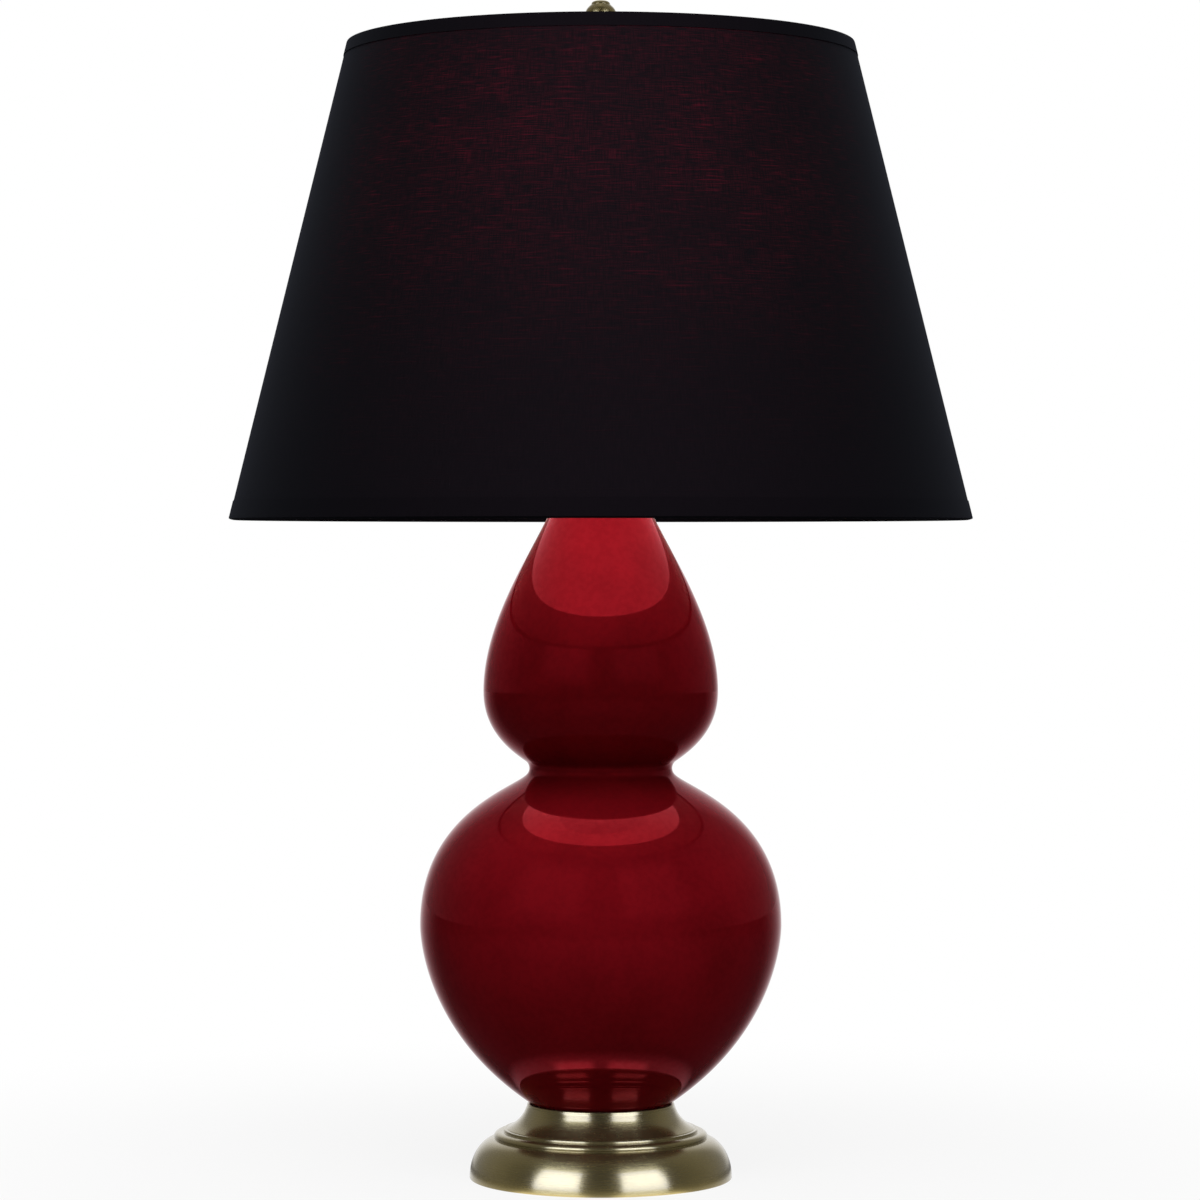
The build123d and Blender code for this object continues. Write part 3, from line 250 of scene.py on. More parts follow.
# ---------------------------------------------------------------- node helpers
class Nodes:
    """Adds nodes to one tree. A value is a number, a colour of three numbers, or another node's output."""

    def __init__(self, tree):
        self.tree = tree

    def fill(self, socket, value):
        """Links an output to the socket, or sets the socket's constant."""
        if isinstance(value, bpy.types.NodeSocket):
            self.tree.links.new(value, socket)
        else:
            socket.default_value = (*value, 1.0) if socket.type == "RGBA" else value

    def add(self, kind, inputs=None, **settings):
        """Adds a node, sets its properties, and fills its inputs, by name or number."""
        made = self.tree.nodes.new(kind)
        for name, value in settings.items():
            setattr(made, name, value)
        for name, value in (inputs or {}).items():
            self.fill(made.inputs[name], value)
        return made

    def maths(self, operation, *values, clamp=False):
        """The result of one operation on one or two values."""
        inputs = dict(enumerate(values))
        return self.add("ShaderNodeMath", inputs, operation=operation, use_clamp=clamp).outputs[0]

    def times(self, first, *others):
        """The values multiplied together."""
        for other in others:
            first = self.maths("MULTIPLY", first, other)
        return first

    def plus(self, first, *others, clamp=False):
        """The values added up."""
        for other in others:
            first = self.maths("ADD", first, other, clamp=clamp)
        return first

    def ramp(self, value, low, high, to_low=0.0, to_high=1.0):
        """Smooth step of a value from low to high."""
        inputs = {0: value, 1: low, 2: high, 3: to_low, 4: to_high}
        return self.add("ShaderNodeMapRange", inputs, interpolation_type="SMOOTHSTEP").outputs[0]

    def band(self, angle, *steps):
        """Rises from 0 to 1 between the first two angles, and falls back between the last two, in degrees."""
        rise, risen, fall, fallen = (radians(step) for step in steps)
        return self.times(self.ramp(angle, rise, risen), self.ramp(angle, fall, fallen, 1.0, 0.0))

    def mixed(self, factor, first, second):
        """The first colour where the factor is 0, and the second where it is 1."""
        return self.add("ShaderNodeMix", {0: factor, 6: first, 7: second}, data_type="RGBA").outputs[2]

    def split(self, place):
        """The X, Y and Z of a place, and how far it lies from the Z axis."""
        x, y, z = self.add("ShaderNodeSeparateXYZ", {0: place}).outputs
        return x, y, z, self.maths("SQRT", self.plus(self.times(x, x), self.times(y, y)))

    def from_front(self, x, y):
        """The angle between a direction and the front, the same to either side."""
        return self.maths("ARCTAN2", self.maths("ABSOLUTE", x), self.times(y, -1.0))

    def noise(self, place, scale, detail=2.0, rough=0.5, stretch=None):
        """Noise between 0 and 1, with its grain stretched by the three numbers."""
        if stretch:
            place = self.add("ShaderNodeMapping", {"Vector": place, "Scale": stretch}).outputs[0]
        inputs = {"Vector": place, "Scale": scale, "Detail": detail, "Roughness": rough}
        return self.add("ShaderNodeTexNoise", inputs).outputs["Fac"]


def shared(name, inputs, outputs):
    """Turns a function into a node group of that name, made when it is first placed. The group's inputs are
    Place and named numbers, and what the function gives are its outputs, in order."""

    def wrap(build):
        def make():
            made = bpy.data.node_groups.new(name, "ShaderNodeTree")
            made.interface.new_socket(name="Place", in_out="INPUT", socket_type="NodeSocketVector")
            for label, value in inputs.items():
                socket = made.interface.new_socket(name=label, in_out="INPUT", socket_type="NodeSocketFloat")
                socket.default_value = value
            for label in outputs:
                made.interface.new_socket(name=label, in_out="OUTPUT", socket_type="NodeSocketFloat")
            nodes = Nodes(made)
            given = nodes.add("NodeGroupInput").outputs[: len(inputs) + 1]
            nodes.add("NodeGroupOutput", dict(enumerate(build(nodes, *given))))
            return made

        def placed(nodes, *values):
            made = bpy.data.node_groups.get(name) or make()
            return nodes.add("ShaderNodeGroup", dict(enumerate(values)), node_tree=made).outputs

        return placed

    return wrap


@shared("Lamp wear", {"Cloud scale": 20.0, "Speck scale": 900.0}, ("Clouds", "Specks"))
def wear(nodes, place, cloud_scale, speck_scale):
    """Wear: broad cloudy patches and fine specks, from Object coordinates."""
    clouds = nodes.noise(place, cloud_scale, 3.0)
    specks = nodes.noise(place, speck_scale, 2.0, 0.6)
    return nodes.ramp(clouds, 0.35, 0.65), nodes.ramp(specks, 0.42, 0.62)


@shared("Lamp turning", {"Line scale": 2600.0}, ("Lines", "Bands"))
def turning(nodes, place, scale):
    """Turning: fine lines round Z, as a lathe and a polishing wheel leave, broken up along their length."""
    x, y, z, radius = nodes.split(place)
    turn = nodes.maths("ARCTAN2", y, x)
    across = nodes.plus(nodes.times(radius, 0.7), z)
    place = nodes.add("ShaderNodeCombineXYZ", {0: nodes.times(turn, 0.02), 1: across}).outputs[0]
    lines = nodes.noise(place, scale, 3.0, 0.7, (0.12, 1.0, 1.0))
    return lines, nodes.noise(place, nodes.times(scale, 0.2), 2.0, 0.5, (0.2, 1.0, 1.0))


@shared("Lamp weave", {"Thread scale": 1500.0}, ("Height", "Warp", "Weft", "Slubs"))
def weave(nodes, place, scale):
    """Weave: warp threads up the cloth, weft threads across it, and thick slubs along some of the weft. The
    place is the cloth's own flat pattern in metres."""
    warp = nodes.noise(place, scale, 1.0, 0.5, (1.0, 0.06, 1.0))
    weft = nodes.noise(place, scale, 1.0, 0.5, (0.06, 1.0, 1.0))
    thick = nodes.noise(place, nodes.times(scale, 0.6), 1.0, 0.4, (0.045, 1.0, 1.0))
    slubs = nodes.ramp(thick, 0.6, 0.74)
    height = nodes.plus(nodes.times(warp, 0.6), nodes.times(weft, 0.5), nodes.times(slubs, 0.5))
    return height, warp, weft, slubs


@shared("Lamp grain", {"Grain scale": 800.0}, ("Lumps", "Pits"))
def grain(nodes, place, scale):
    """Grain: fine even pits and lumps, for felt, castings and moulded pieces."""
    pits = nodes.add("ShaderNodeTexVoronoi", {"Vector": place, "Scale": scale}).outputs["Distance"]
    return nodes.noise(place, scale, 3.0, 0.65), nodes.ramp(pits, 0.05, 0.6)


# ---------------------------------------------------------------- materials
class Finish(Nodes):
    """One material being made: its Principled shader, and the places that its patterns read."""

    def __init__(self, slot):
        made = bpy.data.materials.new(MATERIAL_PREFIX + slot)
        made.use_nodes = True
        super().__init__(made.node_tree)
        self.material = made
        self.shader = self.tree.nodes["Principled BSDF"]
        coordinates = self.add("ShaderNodeTexCoord").outputs
        self.place, self.flat = coordinates["Object"], coordinates["UV"]

    def set(self, **values):
        """Fills the shader's inputs, whose names are written with _ for a space."""
        for name, value in values.items():
            self.fill(self.shader.inputs[name.replace("_", " ")], value)

    def bump(self, height, strength, distance):
        """Raises the surface by a height pattern, distance in millimetres."""
        inputs = {"Height": height, "Strength": strength, "Distance": distance * MM}
        self.set(Normal=self.add("ShaderNodeBump", inputs).outputs[0])


def brass(made, tone, dark, rough, depth, line_scale, lacquer=0.0):
    """Brass with turning lines that draw its highlights out across them, a slightly uneven polish, darker patches
    of age and a thin lacquer."""
    made.set(Metallic=0.96, Coat_Weight=lacquer, Coat_Roughness=0.15, Anisotropic=0.85, Anisotropic_Rotation=0.25)
    made.set(Tangent=made.add("ShaderNodeTangent", direction_type="RADIAL", axis="Z").outputs[0])
    lines, bands = turning(made, made.place, line_scale)
    clouds, _ = wear(made, made.place, 28.0, 1400.0)
    patch = made.plus(made.times(clouds, 0.25), made.times(bands, 0.3), clamp=True)
    made.set(Base_Color=made.mixed(patch, tone, dark))
    made.set(Roughness=made.ramp(lines, 0.2, 0.8, rough * 0.85, rough * 1.2))
    made.bump(lines, depth, 0.05)


def antique_brass(made, look):
    """Darkened brass of the foot, neck and finial."""
    brass(made, look.brass, look.brass_dark, look.brass_roughness, 0.1, 2600.0, 0.5)


def bright_brass(made, _):
    """Paler brass of the fittings inside the shade."""
    brass(made, (0.62, 0.47, 0.22), (0.42, 0.3, 0.13), 0.24, 0.15, 4200.0)


def red_glaze(made, look):
    """Oxblood lustre glaze: a deep red body that also mirrors in red, with faint mottling where it pooled."""
    made.set(Metallic=look.glaze_lustre, IOR=look.glaze_ior, Specular_Tint=(1.0, 0.5, 0.55))
    clouds, specks = wear(made, made.place, 14.0, 260.0)
    mottle = made.plus(made.times(clouds, 0.6), made.times(specks, 0.25), clamp=True)
    made.set(Base_Color=made.mixed(mottle, look.glaze, shaded(look.glaze, 0.68)))
    made.set(Roughness=made.ramp(specks, 0.0, 1.0, 0.02, 0.04))


def black_cloth(made, look, place, pale, dark, bump, depth):
    """Black weave whose threads catch a little cool light, under a veil that darkens it further."""
    made.set(Sheen_Roughness=0.5, Sheen_Tint=(0.75, 0.8, 1.0))
    made.set(Coat_Weight=1.0, Coat_IOR=1.0, Coat_Tint=(0.28, 0.28, 0.28))
    height, warp, weft, slubs = weave(made, place, look.thread_scale)
    made.set(Base_Color=made.mixed(warp, shaded(look.cloth, dark), shaded(look.cloth, pale)))
    made.bump(height, bump, depth)
    return warp, weft, slubs


def black_fabric(made, look):
    """Black slub weave with a painted glow, emission that stands in for the lamp's light coming through it, most
    beside the bulb and along the slubs. The glow at height z is exp(-((z - glow height) / glow spread)^2), made
    uneven by clouds and by the threads."""
    made.set(Roughness=0.9, Sheen_Weight=0.036, Specular_IOR_Level=0.05)
    warp, weft, slubs = black_cloth(made, look, made.flat, 1.0, 0.7, 0.5, 0.25)
    # Painted glow: emission on the cloth, strongest at the glow height and along the slubs, in place of the bulb's
    # light shining through it.
    height = made.add("ShaderNodeSeparateXYZ", {0: made.place}).outputs[2]
    away = made.maths("DIVIDE", made.maths("SUBTRACT", height, look.glow_height), look.glow_spread)
    glow = made.maths("EXPONENT", made.times(away, away, -1.0))
    clouds = made.ramp(made.noise(made.place, 13.0, 3.0, 0.6, (1.0, 1.0, 2.0)), 0.32, 0.68, 0.6, 1.35)
    thread = made.times(made.ramp(warp, 0.3, 0.7, 0.4, 1.5), made.ramp(weft, 0.35, 0.7, 0.15, 2.2))
    level = made.times(glow, clouds, made.plus(thread, made.times(slubs, 3.5)), 0.1)
    made.set(Emission_Color=made.mixed(level, (0, 0, 0), look.glow), Emission_Strength=look.glow_strength)


def black_trim(made, look):
    """Folded black tape round the shade's rims."""
    made.set(Roughness=0.85, Sheen_Weight=0.034, Specular_IOR_Level=0.0)
    place = made.add("ShaderNodeMapping", {"Vector": made.flat, "Scale": (1.2, 1.0, 1.0)}).outputs[0]
    black_cloth(made, look, place, 0.9, 0.65, 0.35, 0.2)


def white_lining(made, look):
    """Stiff white lining with a faint laid texture."""
    made.set(Roughness=0.65, Specular_IOR_Level=0.3)
    fibres = made.noise(made.flat, 500.0, 3.0, 0.6, (0.3, 1.0, 1.0))
    made.set(Base_Color=made.mixed(fibres, shaded(look.lining, 0.93), look.lining))
    made.bump(fibres, 0.2, 0.1)


def frosted_glass(made, _):
    """Bulb glass, frosted inside and lit by its filament."""
    made.set(Roughness=0.45, Transmission_Weight=0.2, IOR=1.45)
    frost, _ = grain(made, made.place, 1800.0)
    made.set(Base_Color=made.mixed(frost, (0.95, 0.93, 0.88), (1.0, 0.98, 0.94)))
    made.bump(frost, 0.08, 0.03)
    height = made.add("ShaderNodeSeparateXYZ", {0: made.place}).outputs[2]
    lit = made.ramp(height, 0.588, 0.625, 0.25, 1.0)
    made.set(Emission_Color=made.mixed(lit, (0.35, 0.26, 0.15), (1.0, 0.88, 0.68)), Emission_Strength=0.3)


def clear_glass(made, _):
    """Clear drawn glass of the bulb's stem."""
    made.set(Transmission_Weight=1.0, IOR=1.5)
    streaks = made.noise(made.place, 300.0, 2.0, 0.5, (1.0, 1.0, 0.2))
    made.set(Roughness=made.ramp(streaks, 0.3, 0.7, 0.01, 0.05))
    made.set(Base_Color=made.mixed(streaks, (0.93, 0.96, 0.95), (0.98, 0.99, 0.98)))


def filament(made, _):
    """Hot wire."""
    made.set(Metallic=1.0, Roughness=0.5, Emission_Strength=4.0)
    lumps, _ = grain(made, made.place, 3000.0)
    made.set(Base_Color=made.mixed(lumps, (0.3, 0.28, 0.25), (0.5, 0.46, 0.4)))
    made.set(Emission_Color=made.mixed(lumps, (1.0, 0.6, 0.25), (1.0, 0.8, 0.5)))


def plain(made, tone, dark, rough, metallic=0.0, grains=900.0, bump=0.15, depth=0.05, sheen=0.0):
    """A finish with a fine grain, cloudy tone and an uneven gloss."""
    made.set(Metallic=metallic, Sheen_Weight=sheen)
    lumps, pits = grain(made, made.place, grains)
    clouds, _ = wear(made, made.place, 25.0, grains)
    patch = made.plus(made.times(clouds, 0.5), made.times(lumps, 0.4), clamp=True)
    made.set(Base_Color=made.mixed(patch, tone, dark))
    made.set(Roughness=made.ramp(lumps, 0.2, 0.8, rough * 0.85, min(1.0, rough * 1.15)))
    made.bump(pits, bump, depth)


def shaded(tone, share_left):
    """A colour darkened to a share of itself."""
    return tuple(value * share_left for value in tone)


PLAIN = {  # slot: tone, darker tone, roughness, metal, scale of the grain, its strength, its depth in mm, sheen
    "felt": ((0.035, 0.042, 0.036), (0.018, 0.022, 0.019), 0.98, 0.0, 1500, 0.9, 0.4, 0.3),
    "fibreboard": ((0.36, 0.24, 0.14), (0.24, 0.15, 0.08), 0.85, 0.0, 700, 0.4, 0.1),
    "black_moulding": ((0.022, 0.022, 0.023), (0.012, 0.012, 0.012), 0.5, 0.0, 900, 0.2),
    "cast_iron": ((0.13, 0.13, 0.13), (0.06, 0.055, 0.05), 0.7, 0.4, 260, 0.6, 0.3),
    "zinc_steel": ((0.62, 0.62, 0.6), (0.45, 0.46, 0.47), 0.34, 1.0, 1200, 0.1),
    "black_rubber": ((0.03, 0.03, 0.03), (0.018, 0.018, 0.018), 0.8, 0.0, 900, 0.3),
    "fibre_sleeve": ((0.48, 0.38, 0.27), (0.36, 0.27, 0.18), 0.9, 0.0, 600, 0.4, 0.1),
    "dark_moulding": ((0.05, 0.03, 0.022), (0.028, 0.017, 0.012), 0.4),
    "screw_metal": ((0.76, 0.76, 0.75), (0.55, 0.55, 0.56), 0.3, 1.0, 1500, 0.1),
    "knob_moulding": ((0.022, 0.021, 0.021), (0.012, 0.012, 0.012), 0.22, 0.0, 900, 0.05),
    "solder": ((0.58, 0.58, 0.57), (0.35, 0.35, 0.35), 0.42, 1.0, 500, 0.5, 0.2),
    "bulb_insulator": ((0.02, 0.02, 0.026), (0.01, 0.01, 0.014), 0.12, 0.0, 900, 0.05),
    "lead_wire": ((0.55, 0.5, 0.45), (0.35, 0.3, 0.25), 0.35, 1.0, 2000, 0.1),
    "ring_wire": ((0.86, 0.86, 0.83), (0.72, 0.72, 0.68), 0.45, 0.0, 900, 0.2),
}
OWN = (red_glaze, antique_brass, black_fabric, black_trim, white_lining, frosted_glass, clear_glass, filament)
FINISHES = {build.__name__: build for build in OWN}
FINISHES.update(dict.fromkeys(("harp_brass", "socket_brass", "terminal_brass", "spider_brass"), bright_brass))


def material(slot):
    """The slot's finish, made when it is first asked for."""
    found = bpy.data.materials.get(MATERIAL_PREFIX + slot)
    if found:
        return found
    made = Finish(slot)
    if slot in PLAIN:
        plain(made, *PLAIN[slot])
    else:
        FINISHES[slot](made, bpy.context.scene.lamp_finish)
    return made.material


# ---------------------------------------------------------------- sizes and colours
def length(name, description, default):
    """A length in metres."""
    return bpy.props.FloatProperty(name=name, description=description, default=default, unit="LENGTH",
                                   subtype="DISTANCE")


def tint(name, description, default):
    """A colour."""
    return bpy.props.FloatVectorProperty(name=name, description=description, default=default, subtype="COLOR",
                                         size=3, min=0.0, max=1.0)


def share(name, description, default, top=1.0):
    """A number from 0 to a top value."""
    return bpy.props.FloatProperty(name=name, description=description, default=default, min=0.0, max=top)


class LampSizes(bpy.types.PropertyGroup):
    """Sizes of the pieces that Blender makes, in metres."""

    glaze_pool: length("Glaze roll", "How far the glaze rounds the edge of the neck and foot", 0.0012)
    thread_depth: length("Thread depth", "Depth of the rolled screw threads on the bulb and its shell", 0.0008)
    top_lap: length("Top tape", "Height of the folded tape round the shade's top rim", 0.009)
    low_lap: length("Low tape", "Height of the folded tape round the shade's low rim", 0.012)
    coil_radius: length("Coil radius", "Radius of the filament's coil", 0.0006)


class LampFinish(bpy.types.PropertyGroup):
    """Colours and surface values of the lamp's finishes."""

    glaze: tint("Glaze", "Red of the glaze where it is thick", (0.19, 0.0036, 0.0075))
    glaze_lustre: share("Glaze lustre", "How much the glaze mirrors in its own red", 0.36)
    glaze_ior: share("Glaze gloss", "Refractive index of the glaze's clear surface", 1.1, 2.0)
    brass: tint("Brass", "Antique brass where it is polished", (0.27, 0.209, 0.07))
    brass_dark: tint("Aged brass", "Antique brass where it has darkened", (0.18, 0.137, 0.041))
    brass_roughness: share("Brass roughness", "Roughness of the satin polish", 0.25)
    cloth: tint("Cloth", "Black of the shade's fabric", (0.0195, 0.0145, 0.0205))
    lining: tint("Lining", "White of the lining inside the shade", (0.86, 0.84, 0.8))
    thread_scale: share("Thread scale", "How fine the weave is, in threads over a metre", 1500.0, 5000.0)
    # The glow is painted: emission on the shade's fabric that stands in for the bulb's light coming through it.
    glow: tint("Glow", "Colour of the light that comes through the fabric", (1.0, 0.01, 0.1))
    glow_strength: share("Glow strength", "Strength of the light that comes through the fabric", 0.33, 10.0)
    glow_height: length("Glow height", "Height at which the fabric glows most", 0.705)
    glow_spread: length("Glow spread", "How far up and down the glow reaches", 0.128)


# ---------------------------------------------------------------- the pieces
class Builder:
    """What the operators share."""

    bl_options = {"REGISTER", "UNDO"}


class BuildGourd(Builder, bpy.types.Operator):
    """The glazed double gourd: one outline from foot to neck, a wall inside it, and rolled edges"""

    bl_idname = "lamp.build_gourd"
    bl_label = "Gourd"
    foot_r, foot_z, neck_r, neck_z, wall = 38.6, 45.0, 20.5, 486.0, 6.0

    def outline(self, inset, count):
        """Bezier stretches that meet upright at the belly and crown, and an arc in the hollow of the waist."""
        foot = along((self.foot_r, self.foot_z), 58.5 - 90, inset)
        belly, crown = (120.8 - inset, 169.9), (78.45 - inset, 325.6)
        centre, hollow = (53.8, 274.2), 6.0 + inset
        low, high = along(centre, -132.1, hollow), along(centre, -34.4, hollow)
        taper, neck = along((35.9, 441.1), -116.1, inset), (self.neck_r - inset, self.neck_z)
        return joined(
            bezier(foot, along(foot, 58.5, 93.0), along(belly, 180, 8.4), belly, count * 2),
            bezier(belly, along(belly, 0, 73.9), along(low, 137.9, 12.7), low, count * 2),
            arc(centre, (hollow, hollow), -132.1, -34.4, count // 2),
            bezier(high, along(high, 55.6, 13.5), along(crown, 180, 25.6), crown, count),
            bezier(crown, along(crown, 0, 44.5), along(taper, 153.9, 31.6), taper, count * 2),
            bezier(taper, along(taper, -26.1, 16.0), along(neck, 180, 18.0), neck, count // 2),
        )

    def execute(self, context):
        roll = context.scene.lamp_sizes.glaze_pool / MM
        outer, inner = self.outline(0.0, 32), self.outline(self.wall, 12)
        foot = arc((self.foot_r - roll * 0.4, self.foot_z + roll), (roll, roll), 180, 122, 5)
        neck = arc((self.neck_r - roll, self.neck_z - roll), (roll, roll), 90, 0, 6)
        glazed = outer[(outer[:, 1] > foot[-1, 1] + 0.1) & (outer[:, 1] < neck[0, 1] - 0.1)]
        outline = joined([(27.12, self.foot_z)], foot, glazed, neck, inner[::-1])
        gourd = turned("gourd_glazed", outline, 224, closed=True)
        fitted(gourd, "lamp_base", "red_glaze", "gourd_lower", "gourd_upper")
        return {"FINISHED"}


class BuildFoot(Builder, bpy.types.Operator):
    """The turned brass foot: quarter round, groove, bead, step, hollow moulding and cup"""

    bl_idname = "lamp.build_foot"
    bl_label = "Foot"

    def execute(self, context):
        low, high = (87.7, 0.9), (71.8, 27.0)
        cove_low, cove_top = (62.8, 33.5), (51.2, 44.2)
        inner_low, inner_high = (85.3, 0.2), (71.8, 24.6)
        bead_start = degrees(asin(1.1 / 2.9))
        outline = joined(
            arc((87.0, 0.9), (0.7, 0.7), 180, 90, 6),
            bezier(low, along(low, 0, 12.8), along(high, 104, 9.8), high, 44),
            [(71.5, 27.05), (70.9, 27.05), (70.9, 27.5)],
            arc((66.7, 28.6), (4.6, 2.9), 90 + bead_start, 0, 22),
            [(65.1, 31.5), (64.9, 31.7), (64.9, 32.9)],
            arc((64.6, 32.9), (0.3, 0.3), 90, 0, 4),
            [(63.0, 33.25)],
            bezier(cove_low, along(cove_low, -63, 6.0), along(cove_top, 152, 6.0), cove_top, 26),
            line(cove_top, (49.4, 48.4), 6),
            bezier((49.4, 48.4), (49.4, 49.6), (49.1, 50.2), (48.5, 50.2), 8),
            [(47.9, 50.2)],
            arc((47.9, 49.9), (0.3, 0.3), 0, -90, 4),
            [(47.6, 43.5), (5.0, 43.5), (5.0, 40.3), (48.8, 40.3), (62.5, 29.1)],
            bezier(inner_high, along(inner_high, 104, 7.4), along(inner_low, 0, 12.8), inner_low, 20),
        )
        foot = turned("foot_turned", outline, 192, closed=True, crease=28)
        boss = self.bar("foot_boss", 7.2, 76.2, 85.0)
        for piece in (boss, foot):
            cut_away(piece, self.bar("recess", 6.1, 83.2, 92.0), self.bar("hole", 4.7, 70.0, 90.0))
        fitted(foot, "lamp_base", "antique_brass", "base_plinth")
        fitted(boss, "lamp_base", "antique_brass")
        return {"FINISHED"}

    def bar(self, name, radius, start, end):
        """Bar along +Y at the outlet's height: rings (r sin A, y, r cos A) that shrink to a pole at each end."""
        rows = [(0, start), (radius, start), (radius, end), (0, end)]
        turn = np.linspace(0, TAU, 48, endpoint=False)
        radius, reach = np.array(rows, float).T[..., None]
        points = np.stack([radius * np.sin(turn), reach + 0 * turn, OUTLET_Z + radius * np.cos(turn)], 2)
        return grid_mesh(name, points)


class BuildNeck(Builder, bpy.types.Operator):
    """The brass between the gourd and the lampholder: vase cap, beaded spacer and check ring"""

    bl_idname = "lamp.build_neck"
    bl_label = "Neck fittings"

    def execute(self, context):
        cap = joined(
            [(21.3, 486.8), (21.3, 483.2), (22.9, 483.2)],
            arc((22.9, 483.4), (0.2, 0.2), 180, 90, 4),
            bezier((23.1, 486.8), (23.1, 491.7), (14.5, 491.7), (9.5, 492.8), 26),
            [(5.0, 492.8), (5.0, 486.8)],
        )
        fitted(turned("neck_cap", cap, 96, closed=True), "lamp_base", "antique_brass", "vase_cap")
        spacer = joined(
            [(5.0, 492.8), (7.0, 492.8)],
            line((7.0, 493.2), (7.0, 498.6), 3),
            arc((7.0, 500.8), (2.0, 2.0), 180, 0, 17),
            line((7.0, 503.0), (7.0, 508.8), 3),
            [(5.0, 508.8)],
        )
        fitted(turned("neck_column", spacer, 64, closed=True), "lamp_base", "antique_brass", "neck_spacer")
        ring = joined(
            [(5.0, 508.8), (11.0, 508.8)],
            arc((11.0, 509.8), (1.0, 1.0), 180, 90, 6),
            arc((11.0, 510.8), (1.0, 1.0), 90, 0, 6),
            [(5.0, 511.8)],
        )
        fitted(turned("neck_collar", ring, 72, closed=True), "lamp_base", "antique_brass", "check_ring")
        return {"FINISHED"}


def cone_points(depth, slide):
    """Rows of (radius, height) for points depth inside the fabric's outer face and slide down its slope."""
    depth, slide = np.broadcast_arrays(np.asarray(depth, float), np.asarray(slide, float))
    radius = SHADE_TOP_R - depth * cos(SLOPE) + slide * sin(SLOPE)
    height = SHADE_TOP_Z - depth * sin(SLOPE) - slide * cos(SLOPE)
    return np.stack([radius, height], 1)


def cloth_uv(outline, count):
    """A place on the cloth, in metres: round the shade at its middle radius, and down its slope. The weft follows
    the rims, as it does where the cloth is eased round the frame."""
    middle = (SHADE_TOP_R + SHADE_LOW_R) / 2
    round_it = np.linspace(0, TAU, count + 1) * middle
    down = outline[:, :1] / sin(SLOPE)
    return np.stack([round_it + 0 * down, down + 0 * round_it], 2) * MM


def shade_skin(name, outline, count):
    """A skin of the shade, turned about Z with its seam at the back, where its flat pattern ends."""
    return grid_mesh(name, rings(outline, count, pi / 2), cloth_uv(outline, count), closed=True, crease=50)


class BuildShade(Builder, bpy.types.Operator):
    """The shade: outer fabric, stiff lining, and folded tape over both rims"""

    bl_idname = "lamp.build_shade"
    bl_label = "Shade"
    count = 192

    def skin(self, name, outer, inner, slot, node_name):
        """A skin between two depths in the shade's wall, from rim to rim."""
        down = np.linspace(0, SLANT, 24)
        outline = np.vstack([cone_points(outer, down[::-1]), cone_points(inner, down)])
        return fitted(shade_skin(name, outline, self.count), "shade", slot, node_name)

    def tape(self, name, edge, away, lap, node_name):
        """Folded tape on the rim that lies edge down the slope, with away 1 or -1 for the way to the shade's
        middle: a band outside, a half ellipse over the rim, a shorter band inside, and the way back under it."""
        outer, inner, thick, inner_lap = -0.42, 4.28, 0.33, 7.0
        middle, reach = (outer + inner) / 2, (inner - outer) / 2
        lean = np.linspace(0, pi, 11)[1:-1]
        outline = np.vstack([
            cone_points(outer, edge + away * np.linspace(lap, 0.6, 8)),
            cone_points(middle - reach * np.cos(lean), edge + away * outer * np.sin(lean)),
            cone_points(inner, edge + away * np.linspace(0.6, inner_lap, 5)),
            cone_points(inner - thick, edge + away * np.array([inner_lap, 1.0])),
            cone_points([3.2, 0.6, -0.1], edge + away * 0.05),
            cone_points(-0.12, edge + away * np.array([1.0, lap])),
        ])
        made = shade_skin(name, outline[::away], self.count)
        return fitted(made, "shade", "black_trim", node_name)

    def execute(self, context):
        sizes = context.scene.lamp_sizes
        cloth = self.skin("shade_cloth", 0.0, 0.55, "black_fabric", "shade_fabric")
        self.skin("shade_liner", 0.78, 1.3, "white_lining", "shade_lining")
        self.tape("top_tape", 0.0, 1, sizes.top_lap / MM, "top_hem")
        self.tape("low_tape", SLANT, -1, sizes.low_lap / MM, "low_hem")
        return {"FINISHED"}


class BuildFinial(Builder, bpy.types.Operator):
    """The turned finial: beaded base, waisted stem, round shoulder and a small dome"""

    bl_idname = "lamp.build_finial"
    bl_label = "Finial"

    def execute(self, context):
        bell_low, dome_low, top = (10.4, 776.7), (6.3, 783.7), (0.0, 786.4)
        outline = joined(
            [(0.0, 758.2), (5.0, 758.2), (5.0, 747.4), (9.2, 747.4)],
            arc((8.9, 749.4), (1.4, 2.0), 170, 10, 16),
            [(7.4, 751.4)],
            bezier((7.2, 751.6), (7.2, 759.1), (4.0, 766.7), (8.0, 774.3), 34),
            bezier((8.0, 774.3), (9.6, 774.3), (10.4, 775.1), bell_low, 9),
            bezier(bell_low, along(bell_low, 0, 3.8), along(dome_low, 135, 2.3), dome_low, 26),
            [(6.28, 783.85)],
            bezier((6.3, 783.9), along((6.3, 783.9), -10, 2.1), along(top, 90, 2.8), top, 20),
        )
        fitted(turned("finial_turned", outline, 96, crease=28), "finial", "antique_brass", "finial_knob")
        return {"FINISHED"}


def threaded(base, depth, pitch, start, stretch, fade, heights, count):
    """Screw thread: (r cos A, r sin A, z), r = base + depth * f * (1 - cos(2 pi (z - start) / pitch - A)) / 2,
    where f is 1 inside the stretch of heights and falls straight to 0 at its two ends, over a length of fade."""
    turn = np.linspace(0, TAU, count, endpoint=False)
    height = heights[:, None]
    low, high = stretch
    kept = np.clip((height - low) / fade, 0, 1) * np.clip((high - height) / fade, 0, 1)
    radius = base + depth * kept * (0.5 - 0.5 * np.cos(TAU * (height - start) / pitch - turn))
    return np.stack([radius * np.cos(turn), radius * np.sin(turn), height + 0 * turn], 2)


